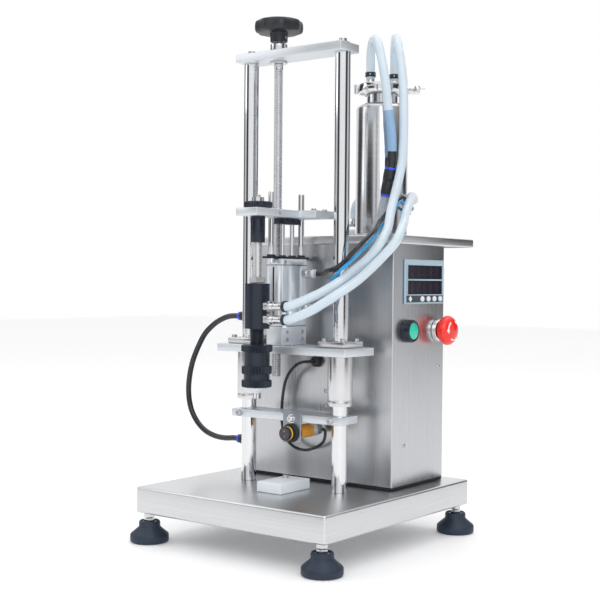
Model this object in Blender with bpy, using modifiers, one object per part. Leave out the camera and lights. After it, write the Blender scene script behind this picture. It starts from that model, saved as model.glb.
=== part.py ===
"""Bench-top piston liquid filler: tray, two columns, height screw, air-driven filling head,
bottle sensor, control cabinet and clamp-lidded tank. Units in the tables below are millimetres."""

import math

import bmesh
import bpy
from mathutils import Matrix, Vector

MM = 0.001
GAP = 0.3                # clearance between pieces that touch
COLUMN_Y = -50.25        # the column plane, in front of the middle of the footprint

# tray and feet
TRAY_X = 152.0
TRAY_FRONT, TRAY_BACK = -135.0, 195.0
TRAY_BOTTOM, TRAY_TOP = 38.0, 72.0
SHEET = 2.0
LIP = 27.0               # width of the lip folded in under the tray
FOOT_INSET = 12.5
FOOT_RADIUS = 25.0
NUT_FLATS = 13.0

# columns, beam, height screw
COLUMN_X = 75.0
COLUMN_RADIUS = 10.0
BEAM_X, BEAM_Y = 86.0, 20.0
BEAM_BOTTOM, BEAM_TOP = 630.0, 641.0
SCREW_X, SCREW_Y = -35.0, 8.0
SCREW_RADIUS = 6.0
SHAFT_RADIUS = 5.0
SCREW_END = 213.0
WHEEL_RADIUS = 31.0
WHEEL_LOBES = 8
WHEEL_BOTTOM, WHEEL_RIM, WHEEL_TOP = 656.0, 668.0, 685.0

# carriage
PLATE_X, PLATE_Y = 105.0, 32.0
PLATE_BOTTOM, PLATE_TOP = 246.0, 256.0
BEARING_FLANGE = 42.0
BEARING_RADIUS = 16.0
BEARING_END = 182.0

# twin-rod air cylinder
BARREL_X = (-25.0, 1.0)
BARREL_Y = 26.0
AIR_PORTS_Z = (350.0, 305.0)
AIR_PORT_Y = 20.0
AIR_PORT_REACH = 22.0
AIR_PORT_ROOT = 3.0      # how deep a port is set into the barrel
AIR_PORT_RADIUS = 5.5
AIR_HOSE_X = BARREL_X[1] + AIR_PORT_REACH + GAP
BARREL_TOP = 368.7
ROD_X, ROD_Y = -12.0, 10.0
ROD_RADIUS = 3.0
PISTON_RADIUS = 7.0
GUIDE_X, GUIDE_Y = -13.5, 31.7
GUIDE_RADIUS = 4.0

# filling head
HEAD_X, NOZZLE_Y = -11.0, -62.0
HEAD_BOTTOM, HEAD_TOP = 422.0, 432.0
HEAD_LEFT, HEAD_FRONT, HEAD_BACK = -28.2, -85.0, 44.0
HEAD_ARM = (6.5, 32.0)   # right edges of the nozzle arm and of the wider back part
HEAD_STEP = 3.0          # where the plate widens
YOKE_BOTTOM = 414.0
BODY_BOTTOM, BODY_TOP = 279.4, 336.6
BODY_RADIUS = 16.0
BARB_Z = (308.0, 291.5)
BARB_END = 30.0
NOZZLE_HOSE_X = BARB_END + GAP
TIP_BOTTOM = 190.2

# bottle sensor
BAR_X, BAR_Y = 89.0, 20.0
BAR_BOTTOM, BAR_TOP = 159.0, 169.0
SENSOR_X, SENSOR_Z = 15.4, 145.0
SENSOR_FACE = -38.0

# cabinet
CABINET_X = 124.0
CABINET_FRONT, CABINET_BACK = 47.0, 173.0
CABINET_BOTTOM, CABINET_TOP = 72.3, 398.7
WALL = 1.5
COVER_X = 127.0
COVER_FRONT, COVER_BACK = 45.0, 248.0
COVER_BOTTOM, COVER_TOP = 389.0, 400.5
PANEL_Y = (70.0, 167.0)
PANEL_Z = (311.5, 369.5)
PANEL_THICK = 3.0
WINDOWS_Z = ((344.0, 362.0), (324.0, 342.0))
KEYS_Y = (81.6, 111.4, 126.8, 141.9, 156.9)
KEYS_Z = 318.0
START_Y, START_Z = 78.0, 276.5
STOP_Y, STOP_Z = 155.0, 275.7

# tank
TANK_X, TANK_Y = 45.0, 136.0
TANK_RADIUS = 35.5
TANK_BOTTOM = 400.8
TANK_SHOULDER = 575.0
NECK_RADIUS = 21.5
FERRULE_RADIUS = 30.0
LID_BARBS = ((36.0, 120.0), (54.0, 152.0))
CLAMP_TURN = math.radians(37.5)
CLAMP_BOLT_REACH = 46.0

# hoses and leads
HOSE = 12.0
AIR_TUBE = 6.0
BLUE_TUBE = 4.0
SENSOR_LEAD = 4.0
LOOP_HOSE = 8.0
LOOP_Y = 56.0
LOOP_ENDS_Z = (290.0, 116.0)
PORT_Y, PORT_TOP = 202.0, 432.0
PORTS_X = (-46.0, -26.0, -6.0)

COLOURS = {
    "steel": ((0.72, 0.73, 0.74), 0.32, 1.0),
    "polished": ((0.80, 0.81, 0.83), 0.12, 1.0),
    "plate": ((0.80, 0.84, 0.88), 0.38, 0.9),
    "black": ((0.035, 0.045, 0.065), 0.42, 0.0),
    "rubber": ((0.045, 0.065, 0.095), 0.75, 0.0),
    "white": ((0.86, 0.88, 0.90), 0.45, 0.0),
    "panel": ((0.46, 0.56, 0.62), 0.4, 0.0),
    "key": ((0.15, 0.17, 0.20), 0.5, 0.0),
    "green": ((0.10, 0.66, 0.47), 0.3, 0.0),
    "red": ((0.85, 0.05, 0.03), 0.3, 0.0),
    "orange": ((0.87, 0.42, 0.02), 0.35, 0.0),
    "clear": ((0.82, 0.86, 0.90), 0.2, 0.0),
    "blue": ((0.0, 0.36, 0.82), 0.3, 0.0),
    "tin": ((0.62, 0.64, 0.66), 0.45, 0.8),
}

for old in list(bpy.data.objects):
    bpy.data.objects.remove(old, do_unlink=True)

parts = bpy.data.collections.new("piston_liquid_filler")
cutters = bpy.data.collections.new("cutters")
bpy.context.scene.collection.children.link(parts)
bpy.context.scene.collection.children.link(cutters)


def pivot(name, place, parent=None):
    """An empty that pieces hang on, with its place in the column frame."""
    empty = bpy.data.objects.new(name, None)
    parts.objects.link(empty)
    empty.parent = parent
    empty.location = Vector(place) * MM
    return empty


column_frame = pivot("column_frame", (0.0, COLUMN_Y, 0.0))
carriage_axis = pivot("carriage_axis", (SCREW_X, SCREW_Y, PLATE_BOTTOM), column_frame)
head_axis = pivot("head_axis", (ROD_X, 0.0, HEAD_BOTTOM), column_frame)
sensor_axis = pivot("sensor_axis", (COLUMN_X, 0.0, BAR_BOTTOM), column_frame)
screw_axis = pivot("screw_axis", (SCREW_X, SCREW_Y, SCREW_END), column_frame)


def finish(name, colour):
    """A Principled material of one of the finishes above."""
    rgb, roughness, metallic = COLOURS[colour]
    material = bpy.data.materials.new(name)
    material.use_nodes = True
    shader = material.node_tree.nodes["Principled BSDF"]
    shader.inputs["Base Color"].default_value = (*rgb, 1.0)
    shader.inputs["Roughness"].default_value = roughness
    shader.inputs["Metallic"].default_value = metallic
    return material


def hang(obj, place, parent):
    """Puts the object at a place of the column frame, under its parent empty."""
    offset = Vector(place)
    node = parent
    while node is not None and node is not column_frame:
        offset -= node.location / MM
        node = node.parent
    obj.parent = parent
    obj.location = offset * MM


def add(name, mesh, place, colour, parent=column_frame, turn=None):
    """A part of the machine: its mesh, its place, its material. No colour makes it a cutter."""
    obj = bpy.data.objects.new(name, mesh)
    hang(obj, place, parent)
    if turn is not None:
        obj.rotation_euler = turn
    if colour is None:
        cutters.objects.link(obj)
        obj.hide_render = True
        obj.display_type = "WIRE"
    else:
        parts.objects.link(obj)
        mesh.materials.append(finish(name, colour))
    return obj


def bevel(obj, width, segments=1):
    edge = obj.modifiers.new("edge", "BEVEL")
    edge.width = width * MM
    edge.segments = segments
    edge.limit_method = "ANGLE"
    edge.angle_limit = math.radians(40)
    return obj


def box(name, low, high, colour, parent=column_frame, edge=0.0):
    """A block between two corners, its origin at its middle."""
    size = [b - a for a, b in zip(low, high)]
    middle = [(a + b) / 2 for a, b in zip(low, high)]
    mesh = bpy.data.meshes.new(name)
    shape = bmesh.new()
    bmesh.ops.create_cube(shape, size=1.0)
    bmesh.ops.scale(shape, vec=Vector(size) * MM, verts=shape.verts)
    shape.to_mesh(mesh)
    shape.free()
    obj = add(name, mesh, middle, colour, parent)
    if edge:
        bevel(obj, edge)
    return obj


ALONG_X = (0.0, math.pi / 2, 0.0)
ALONG_LEFT = (0.0, -math.pi / 2, 0.0)
ALONG_Y = (-math.pi / 2, 0.0, 0.0)
ALONG_FRONT = (math.pi / 2, 0.0, 0.0)


def rod(name, place, radius, length, colour, parent=column_frame, turn=None, sides=20, oval=1.0):
    """A cylinder that starts at its place and runs up, or along the way it is turned."""
    mesh = bpy.data.meshes.new(name)
    shape = bmesh.new()
    bmesh.ops.create_cone(
        shape, cap_ends=True, segments=sides, radius1=radius * MM, radius2=radius * MM, depth=length * MM
    )
    bmesh.ops.translate(shape, vec=(0.0, 0.0, length * MM / 2), verts=shape.verts)
    bmesh.ops.scale(shape, vec=(1.0, oval, 1.0), verts=shape.verts)
    shape.to_mesh(mesh)
    shape.free()
    mesh.shade_smooth()
    mesh.set_sharp_from_angle(angle=math.radians(40))
    return add(name, mesh, place, colour, parent, turn)


def nut(name, place, flats, length, colour, parent=column_frame, turn=None):
    """A hexagon prism with the given width across its flats."""
    return rod(name, place, flats / 2 / math.cos(math.pi / 6), length, colour, parent, turn, sides=6)


def turned(name, place, profile, colour, parent=column_frame, turn=None, steps=24, closed=False):
    """A turned piece: its profile of (radius, height) runs down the outer side."""
    mesh = bpy.data.meshes.new(name)
    points = [(radius * MM, 0.0, height * MM) for radius, height in profile]
    edges = [(i, i + 1) for i in range(len(points) - 1)]
    if closed:
        edges.append((len(points) - 1, 0))
    mesh.from_pydata(points, edges, [])
    obj = add(name, mesh, place, colour, parent, turn)
    lathe = obj.modifiers.new("lathe", "SCREW")
    lathe.angle = math.tau
    lathe.axis = "Z"
    lathe.steps = steps
    lathe.render_steps = steps
    lathe.use_merge_vertices = True
    lathe.merge_threshold = 0.00002
    lathe.use_smooth_shade = True
    return obj


def slab(name, outline, low, high, colour, parent=column_frame, place=(0.0, 0.0)):
    """A flat plate cut to an outline, between two heights."""
    curve = bpy.data.curves.new(name, "CURVE")
    curve.dimensions = "2D"
    curve.fill_mode = "BOTH"
    curve.extrude = (high - low) / 2 * MM
    line = curve.splines.new("POLY")
    line.points.add(len(outline) - 1)
    for point, (x, y) in zip(line.points, outline):
        point.co = (x * MM, y * MM, 0.0, 1.0)
    line.use_cyclic_u = True
    return add_from_curve(name, curve, (*place, (low + high) / 2), colour, parent)


def add_from_curve(name, curve, place, colour, parent=column_frame):
    """The curve's surface as a closed mesh part, so that it can be cut and joined."""
    guide = bpy.data.objects.new(name + "_guide", curve)
    cutters.objects.link(guide)
    bpy.context.view_layer.update()
    mesh = bpy.data.meshes.new_from_object(guide.evaluated_get(bpy.context.evaluated_depsgraph_get()))
    shape = bmesh.new()
    shape.from_mesh(mesh)
    bmesh.ops.remove_doubles(shape, verts=shape.verts, dist=0.00001)
    bmesh.ops.recalc_face_normals(shape, faces=shape.faces)
    shape.to_mesh(mesh)
    shape.free()
    bpy.data.objects.remove(guide, do_unlink=True)
    mesh.name = name
    return add(name, mesh, place, colour, parent)


def change(obj, operation, tools):
    for tool in tools:
        step = obj.modifiers.new(tool.name, "BOOLEAN")
        step.operation = operation
        step.object = tool
        step.solver = "EXACT"
    return obj


def cut(obj, *tools):
    return change(obj, "DIFFERENCE", tools)


def join(obj, *tools):
    return change(obj, "UNION", tools)


def drill(obj, place, radius, depth, turn=None, sides=20):
    """A round hole that starts at its place and runs up, or along the way it is turned."""
    name = f"{obj.name}_hole_{len(obj.modifiers)}"
    return cut(obj, rod(name, place, radius, depth, None, turn=turn, sides=sides))


def smooth_route(corners, spacing):
    """Points spaced along one smooth curve through a route's points.
    Its first and last stretch stay straight."""
    knots = [Vector(corner) for corner in corners]
    fine = []
    for i in range(1, len(knots) - 2):
        before, start, end, after = knots[i - 1 : i + 3]
        span = (end - start).length
        count = max(2, round(span / 1.5))
        in_slope = (end - before) * span / ((start - before).length + span)
        out_slope = (after - start) * span / ((after - end).length + span)
        for step in range(count):
            t = step / count
            fine.append(
                start * (2 * t**3 - 3 * t**2 + 1)
                + in_slope * (t**3 - 2 * t**2 + t)
                + end * (3 * t**2 - 2 * t**3)
                + out_slope * (t**3 - t**2)
            )
    fine.append(knots[-2])
    length = sum((b - a).length for a, b in zip(fine, fine[1:]))
    count = max(4, round(length / spacing))
    points, walked, target = [fine[0]], 0.0, length / count
    for a, b in zip(fine, fine[1:]):
        step = (b - a).length
        while walked + step >= target - 1e-6 and len(points) < count:
            points.append(a.lerp(b, (target - walked) / step))
            target += length / count
        walked += step
    return [knots[0], *points, fine[-1], knots[-1]]


def hose(name, corners, diameter, colour, bevel_resolution=2):
    """A hose or lead along a smooth route, as a round tube with capped ends."""
    points = smooth_route(corners, 2.0 * diameter)
    curve = bpy.data.curves.new(name, "CURVE")
    curve.dimensions = "3D"
    curve.bevel_depth = diameter / 2 * MM
    curve.bevel_resolution = bevel_resolution
    curve.use_fill_caps = True
    line = curve.splines.new("POLY")
    line.points.add(len(points) - 1)
    for point, place in zip(line.points, points):
        point.co = (*(place * MM), 1.0)
    obj = bpy.data.objects.new(name, curve)
    parts.objects.link(obj)
    obj.parent = column_frame
    curve.materials.append(finish(name, colour))
    return obj


def make_tray():
    lip_z = TRAY_BOTTOM + SHEET
    tray = box(
        "base_tray",
        (-TRAY_X, TRAY_FRONT, TRAY_BOTTOM),
        (TRAY_X, TRAY_BACK, TRAY_TOP),
        "steel",
        edge=3.0,
    )
    inside = box(
        "tray_inside",
        (-TRAY_X + SHEET, TRAY_FRONT + SHEET, lip_z),
        (TRAY_X - SHEET, TRAY_BACK - SHEET, TRAY_TOP - SHEET),
        None,
    )
    mouth = box(
        "tray_mouth",
        (-TRAY_X + LIP, TRAY_FRONT + LIP, TRAY_BOTTOM - 5),
        (TRAY_X - LIP, TRAY_BACK - LIP, lip_z + 5),
        None,
    )
    cut(tray, inside, mouth)
    for side, x in (("left", -1), ("right", 1)):
        for end, y in (("front", TRAY_FRONT + FOOT_INSET), ("back", TRAY_BACK - FOOT_INSET)):
            place = (x * (TRAY_X - FOOT_INSET), y)
            drill(tray, (*place, TRAY_BOTTOM - 2), 4.3, SHEET + 4, sides=12)
            make_foot(f"foot_{end}_{side}", place)


def make_foot(name, place):
    """A levelling foot: rubber pad, stud and lock nut, which turn together."""
    profile = [
        (0, 56), (4, 56), (4, 28), (13.5, 28), (13.5, 19.5),
        (FOOT_RADIUS, 10), (FOOT_RADIUS, 1), (FOOT_RADIUS - 1, 0), (0, 0),
    ]
    foot = turned(name, (*place, 0.0), profile, "rubber", steps=20)
    join(foot, nut(f"{name}_nut", (*place, 29.5), NUT_FLATS, TRAY_BOTTOM - GAP - 29.5, None))


def make_columns():
    for side, x in (("left", -COLUMN_X), ("right", COLUMN_X)):
        bottom = TRAY_TOP + GAP
        length = BEAM_BOTTOM - GAP - bottom
        rod(f"column_{side}", (x, 0.0, bottom), COLUMN_RADIUS, length, "polished", sides=28)


def make_beam():
    beam = box("top_beam", (-BEAM_X, -BEAM_Y, BEAM_BOTTOM), (BEAM_X, BEAM_Y, BEAM_TOP), "plate", edge=0.8)
    drill(beam, (SCREW_X, SCREW_Y, BEAM_BOTTOM - 2), 8.3, 15)
    drill(beam, (10.0, 3.0, BEAM_BOTTOM - 2), 3.0, 7, sides=12)
    bearing = [
        (11.5, 652.7), (11.5, BEAM_TOP + GAP), (8, BEAM_TOP + GAP), (8, BEAM_BOTTOM - GAP),
        (11.5, BEAM_BOTTOM - GAP), (11.5, 627.6), (5.3, 627.6), (5.3, 652.7),
    ]
    turned("screw_bearing", (SCREW_X, SCREW_Y, 0.0), bearing, "steel", closed=True)


def make_height_screw():
    screw = [
        (0, 679.7), (SHAFT_RADIUS, 679.7), (SHAFT_RADIUS, 627.3), (SCREW_RADIUS, 627.3),
        (SCREW_RADIUS, SCREW_END + 1), (5, SCREW_END), (0, SCREW_END),
    ]
    turned("lead_screw", (SCREW_X, SCREW_Y, 0.0), screw, "steel", parent=screw_axis)
    outline = []
    for step in range(WHEEL_LOBES * 8):
        angle = math.tau * step / (WHEEL_LOBES * 8)
        radius = WHEEL_RADIUS + 0.9 * math.cos(WHEEL_LOBES * angle)
        outline.append((radius * math.cos(angle), radius * math.sin(angle)))
    wheel = slab(
        "handwheel", outline, WHEEL_RIM, WHEEL_TOP, "black", parent=screw_axis, place=(SCREW_X, SCREW_Y)
    )
    hub = rod("handwheel_hub", (SCREW_X, SCREW_Y, WHEEL_BOTTOM), 11.5, 20, None)
    join(wheel, hub)
    drill(wheel, (SCREW_X, SCREW_Y, WHEEL_BOTTOM - 2), SHAFT_RADIUS + GAP, 26)


def make_carriage():
    plate = box(
        "carriage_plate",
        (-PLATE_X, -PLATE_Y, PLATE_BOTTOM),
        (PLATE_X, PLATE_Y, PLATE_TOP),
        "plate",
        parent=carriage_axis,
        edge=0.8,
    )
    for side, x in (("left", -COLUMN_X), ("right", COLUMN_X)):
        drill(plate, (x, 0.0, PLATE_BOTTOM - 2), BEARING_RADIUS + 0.5, 14, sides=24)
        make_bearing(f"bearing_{side}", x)
    drill(plate, (SCREW_X, SCREW_Y, PLATE_BOTTOM - 2), 9.3, 14)
    screw_nut = [
        (9, 272), (9, 262.3), (15, 262.3), (15, PLATE_TOP + GAP), (9, PLATE_TOP + GAP), (9, 244),
        (SCREW_RADIUS + GAP, 244), (SCREW_RADIUS + GAP, 272),
    ]
    screw_nut = turned(
        "screw_nut", (SCREW_X, SCREW_Y, 0.0), screw_nut, "steel", parent=carriage_axis, closed=True
    )
    flat_x = BARREL_X[0] - 0.8
    cut(screw_nut, box("nut_flat", (flat_x, -20, PLATE_TOP - 1), (flat_x + 20, 40, 280), None))


def make_bearing(name, x):
    """A long flanged linear bearing: square flange on the plate, sleeve through and below it."""
    bottom = PLATE_TOP + GAP
    half = BEARING_FLANGE / 2
    flange = box(name, (x - half, -half, bottom), (x + half, half, bottom + 8), "steel", carriage_axis, 0.8)
    length = bottom + 4 - BEARING_END
    sleeve = rod(f"{name}_sleeve", (x, 0.0, BEARING_END), BEARING_RADIUS, length, None, sides=24)
    join(flange, sleeve)
    drill(flange, (x, 0.0, BEARING_END - 2), COLUMN_RADIUS + GAP, 90, sides=28)


def make_cylinder():
    left, right = BARREL_X
    barrel = box(
        "cylinder_body",
        (left, -BARREL_Y, PLATE_TOP + GAP),
        (right, BARREL_Y, BARREL_TOP),
        "plate",
        carriage_axis,
        0.8,
    )
    for level in AIR_PORTS_Z:
        place = (right - AIR_PORT_ROOT, AIR_PORT_Y, level)
        reach = AIR_PORT_ROOT + AIR_PORT_REACH
        join(barrel, rod(f"air_port_{level:.0f}", place, AIR_PORT_RADIUS, reach, None, turn=ALONG_X))
    cap = box(
        "cylinder_cap",
        (GUIDE_X - 8, -40, BARREL_TOP + GAP),
        (GUIDE_X + 8, 40, BARREL_TOP + GAP + 3),
        "black",
        carriage_axis,
    )
    box("rod_yoke", (-20.5, -18, YOKE_BOTTOM), (-5.5, 18, HEAD_BOTTOM - GAP), "black", head_axis, 0.6)
    for name, side in (("front", -1), ("back", 1)):
        y = side * ROD_Y
        drill(barrel, (ROD_X, y, 288), PISTON_RADIUS + GAP, 72)
        drill(barrel, (ROD_X, y, 355), ROD_RADIUS + GAP, 20, sides=12)
        drill(cap, (ROD_X, y, BARREL_TOP - 2), ROD_RADIUS + GAP, 8, sides=12)
        drill(cap, (GUIDE_X, side * GUIDE_Y, BARREL_TOP - 2), GUIDE_RADIUS + GAP, 8, sides=16)
        piston = [
            (0, YOKE_BOTTOM - GAP), (ROD_RADIUS, YOKE_BOTTOM - GAP), (ROD_RADIUS, 346),
            (PISTON_RADIUS, 346), (PISTON_RADIUS, 338), (0, 338),
        ]
        turned(f"piston_rod_{name}", (ROD_X, y, 0.0), piston, "polished", head_axis, steps=16)
        rod(
            f"guide_rod_{name}",
            (GUIDE_X, side * GUIDE_Y, 363.0),
            GUIDE_RADIUS,
            92.5,
            "polished",
            head_axis,
            sides=16,
        )


def make_head():
    arm, wide = HEAD_ARM
    outline = [
        (HEAD_LEFT, HEAD_FRONT), (arm, HEAD_FRONT), (arm, HEAD_STEP),
        (wide, HEAD_STEP), (wide, HEAD_BACK), (HEAD_LEFT, HEAD_BACK),
    ]
    plate = slab("head_plate", outline, HEAD_BOTTOM, HEAD_TOP, "plate", head_axis)
    drill(plate, (HEAD_X, NOZZLE_Y, HEAD_BOTTOM - 2), 6.3, 14, sides=16)
    for side in (-1, 1):
        drill(plate, (GUIDE_X, side * GUIDE_Y, HEAD_BOTTOM - 2), GUIDE_RADIUS + GAP, 14, sides=16)


def make_nozzle():
    axis = (HEAD_X, NOZZLE_Y, 0.0)
    outline = []
    for step in range(72):
        angle = math.tau * step / 72
        radius = 17.6 + 0.9 * math.cos(12 * angle)
        outline.append((radius * math.cos(angle), radius * math.sin(angle)))
    lock = slab("nozzle_lock_nut", outline, HEAD_TOP + GAP, 440.6, "black", head_axis, (HEAD_X, NOZZLE_Y))
    join(lock, rod("lock_nut_cap", (HEAD_X, NOZZLE_Y, 436), 8.0, 10, None))
    drill(lock, (HEAD_X, NOZZLE_Y, HEAD_TOP - 2), 6.3, 11, sides=16)
    stem = [
        (0, 440), (6, 440), (6, HEAD_BOTTOM - GAP), (9.35, HEAD_BOTTOM - GAP), (9.35, 388.7),
        (6, 388.7), (6, BODY_TOP + GAP), (0, BODY_TOP + GAP),
    ]
    stem = turned("nozzle_stem", axis, stem, "steel", head_axis)
    join(stem, nut("stem_nut", (HEAD_X, NOZZLE_Y, BODY_TOP + GAP), 19.0, 8, None))
    body = turned(
        "nozzle_body",
        axis,
        [
            (0, BODY_TOP), (BODY_RADIUS - 1, BODY_TOP), (BODY_RADIUS, BODY_TOP - 1),
            (BODY_RADIUS, BODY_BOTTOM + 1), (BODY_RADIUS - 1, BODY_BOTTOM), (0, BODY_BOTTOM),
        ],
        "black",
        head_axis,
    )
    for level in BARB_Z:
        barb = [(0, BARB_END - 5), (4, BARB_END - 5), (4, 26 - 5), (6.3, 26 - 5), (6.3, -6), (0, -6)]
        join(
            body,
            turned(f"barb_{level:.0f}", (5.0, NOZZLE_Y, level), barb, None, turn=ALONG_X, steps=14),
        )
    top = BODY_BOTTOM - GAP
    barrel = [
        (0, top), (9, top), (9, 258.6), (19.5, 258.6), (19.5, 249.7), (16.5, 249.7), (16.5, 232),
        (18.5, 232), (18.5, 221.8), (16.5, 221.8), (16.5, 214.2), (18.5, 214.2), (18.5, 204.9),
        (12.4, 204.9), (12.4, 210.5), (3, 210.5), (3, TIP_BOTTOM), (0, TIP_BOTTOM),
    ]
    turned("nozzle_barrel", axis, barrel, "steel", head_axis, steps=28)
    cone = [(12, 205), (12, 203.5), (4.2, 197.2), (3.3, 197.2), (3.3, 205)]
    turned("cone_seal", axis, cone, "white", head_axis, steps=20, closed=True)


def make_sensor():
    bar = box("sensor_bar", (-BAR_X, -BAR_Y, BAR_BOTTOM), (BAR_X, BAR_Y, BAR_TOP), "plate", sensor_axis, 0.8)
    for x in (-COLUMN_X, COLUMN_X):
        drill(bar, (x, 0.0, BAR_BOTTOM - 2), COLUMN_RADIUS + GAP, 14, sides=28)
    face = -BAR_Y - GAP
    bracket = box("sensor_bracket", (0.7, face - 2, 132.0), (30.0, face, 173.8), "plate", sensor_axis, 0.4)
    drill(bracket, (SENSOR_X, face - 4, SENSOR_Z), 9.3, 6, turn=ALONG_Y, sides=20)
    nut_in, nut_out = face + GAP, face - 2 - GAP
    profile = [
        (0, 36), (7.5, 36), (7.5, 30), (9, 30), (9, nut_in + 5), (12, nut_in + 5), (12, nut_in),
        (9, nut_in), (9, nut_out), (12, nut_out), (12, nut_out - 5), (9, nut_out - 5),
        (9, SENSOR_FACE), (0, SENSOR_FACE),
    ]
    turned("bottle_sensor", (SENSOR_X, 0.0, SENSOR_Z), profile, "orange", sensor_axis, turn=ALONG_Y, steps=20)


def make_cabinet():
    shell = box(
        "cabinet_shell",
        (-CABINET_X, CABINET_FRONT, CABINET_BOTTOM),
        (CABINET_X, CABINET_BACK, CABINET_TOP),
        "steel",
        edge=1.2,
    )
    cut(
        shell,
        box(
            "shell_inside",
            (-CABINET_X + WALL, CABINET_FRONT + WALL, CABINET_BOTTOM - 5),
            (CABINET_X - WALL, CABINET_BACK - WALL, CABINET_TOP - WALL),
            None,
        ),
        box("shell_window", (CABINET_X - 5, 75, 314), (CABINET_X + 5, 162, 364), None),
    )
    for y, z in ((START_Y, START_Z), (STOP_Y, STOP_Z)):
        drill(shell, (CABINET_X - 5, y, z), 11.0, 10, turn=ALONG_X)
    for z in LOOP_ENDS_Z:
        drill(shell, (-CABINET_X - 5, LOOP_Y, z), 5.3, 10, turn=ALONG_X, sides=16)
    drill(shell, (4.8, CABINET_FRONT - 5, 233.4), 5.3, 10, turn=ALONG_Y, sides=16)
    cover = box(
        "cabinet_cover",
        (-COVER_X, COVER_FRONT, COVER_BOTTOM),
        (COVER_X, COVER_BACK, COVER_TOP),
        "steel",
        edge=1.2,
    )
    cut(
        cover,
        box(
            "cover_inside",
            (-COVER_X + WALL, COVER_FRONT + WALL, COVER_BOTTOM - 5),
            (COVER_X - WALL, COVER_BACK - WALL, COVER_TOP - WALL),
            None,
        ),
    )
    pump = rod("vacuum_pump", (-20, 110, 118), 30, 92, "tin", turn=ALONG_X, sides=24)
    join(pump, box("pump_foot", (-10, 84, TRAY_TOP + GAP), (60, 136, 100), None))


def make_panel():
    face = CABINET_X + GAP
    front = face + PANEL_THICK
    (left, right), (bottom, top) = PANEL_Y, PANEL_Z
    panel = box("display_panel", (face, left, bottom), (front, right, top), "panel", edge=0.8)
    join(panel, box("display_board", (face - 16, 78, 326), (face + 1, 159, 361), None))
    for number, (low, high) in enumerate(WINDOWS_Z):
        cut(panel, box(f"window_{number}", (front - 0.8, left + 6, low), (front + 2, right - 4, high), None))
    for number, y in enumerate(KEYS_Y, start=1):
        place = (face - 1.5, y, KEYS_Z)
        cut(panel, rod(f"key_hole_{number}", place, 3.9, 8, None, turn=ALONG_X, sides=16, oval=1.2))
        rod(f"key_{number}", (face - 1, y, KEYS_Z), 3.6, 5.2, "key", turn=ALONG_X, sides=14, oval=1.2)


def make_buttons():
    face = CABINET_X + GAP
    collar = [
        (15, 11.7), (15, 0), (10.7, 0), (10.7, -18), (8.3, -18), (8.3, 0.4), (11.2, 0.4), (11.2, 11.7),
    ]
    start = (face, START_Y, START_Z)
    turned("start_collar", start, collar, "polished", turn=ALONG_X, steps=24, closed=True)
    cap = [(0, 12.5), (10, 12.5), (10.8, 11.5), (10.8, 4), (8, 4), (8, -16), (0, -16)]
    turned("start_button", start, cap, "green", turn=ALONG_X, steps=20)
    stop = (face, STOP_Y, STOP_Z)
    collar = [(15, 7.7), (15, 0), (10.7, 0), (10.7, -18), (8.3, -18), (8.3, 7.7)]
    turned("stop_collar", stop, collar, "polished", turn=ALONG_X, steps=24, closed=True)
    cap = [
        (0, 26.7), (8, 26.3), (15, 23.8), (18.8, 20), (20, 16.5), (19, 14), (13, 12.7), (8, 12.7),
        (8, -16), (0, -16),
    ]
    turned("stop_button", stop, cap, "red", turn=ALONG_X, steps=24)


def make_tank():
    axis = (TANK_X, TANK_Y, 0.0)
    inner = TANK_RADIUS - WALL
    body = [
        (0, TANK_BOTTOM + WALL), (inner - 3, TANK_BOTTOM + WALL), (inner, TANK_BOTTOM + WALL + 3),
        (inner, TANK_SHOULDER), (28.5, 580), (20, 583), (20, 603), (FERRULE_RADIUS, 603),
        (FERRULE_RADIUS, 600), (NECK_RADIUS, 597), (NECK_RADIUS, 584.4), (30, 581.5),
        (TANK_RADIUS, TANK_SHOULDER + 1), (TANK_RADIUS, TANK_BOTTOM + 3), (TANK_RADIUS - 3, TANK_BOTTOM),
        (0, TANK_BOTTOM),
    ]
    turned("tank_body", axis, body, "steel", steps=32)
    lid = turned(
        "tank_lid",
        axis,
        [
            (0, 607.5), (FERRULE_RADIUS - 2, 607.5), (FERRULE_RADIUS, 605.5), (FERRULE_RADIUS, 603 + GAP),
            (0, 603 + GAP),
        ],
        "polished",
        steps=32,
    )
    for number, (x, y) in enumerate(LID_BARBS):
        barb = [(0, 616), (5.5, 616), (5.5, 605), (0, 605)]
        join(lid, turned(f"lid_barb_{number}", (x, y, 0.0), barb, None, steps=16))
    band_in = FERRULE_RADIUS + GAP
    band = [(33, 610), (33, 597), (band_in, 597), (band_in, 610)]
    clamp = turned("tank_clamp", axis, band, "polished", steps=32, closed=True)
    lug = box("clamp_lug", (32, -6, 598), (CLAMP_BOLT_REACH + 5, 6, 609), None)
    hinge = rod("clamp_hinge", (-35.0, 0.0, 597.5), 4.0, 12, None, sides=12)
    for tool in (lug, hinge):
        offset = Vector((tool.location.x, tool.location.y, 0.0))
        turn = Matrix.Rotation(CLAMP_TURN, 3, "Z")
        moved = turn @ offset + Vector((TANK_X, TANK_Y, 0.0)) * MM
        tool.location = (moved.x, moved.y, tool.location.z)
        tool.rotation_euler = (0.0, 0.0, CLAMP_TURN)
    join(clamp, lug, hinge)
    across = Vector((math.sin(CLAMP_TURN), -math.cos(CLAMP_TURN), 0.0))
    out = Vector((math.cos(CLAMP_TURN), math.sin(CLAMP_TURN), 0.0))
    place = Vector((TANK_X, TANK_Y, 603.5)) + out * CLAMP_BOLT_REACH + across * (6 + GAP)
    turn = across.to_track_quat("Z", "Y").to_euler()
    wing = rod("wing_nut", place, 5.0, 10, "polished", turn=turn, sides=16)
    wings = box("wing_nut_wings", (-11, -1.3, 3), (11, 1.3, 9.5), None)
    wings.location = (0.0, 0.0, 6.25 * MM)
    wings.parent = wing
    join(wing, wings)


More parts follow.
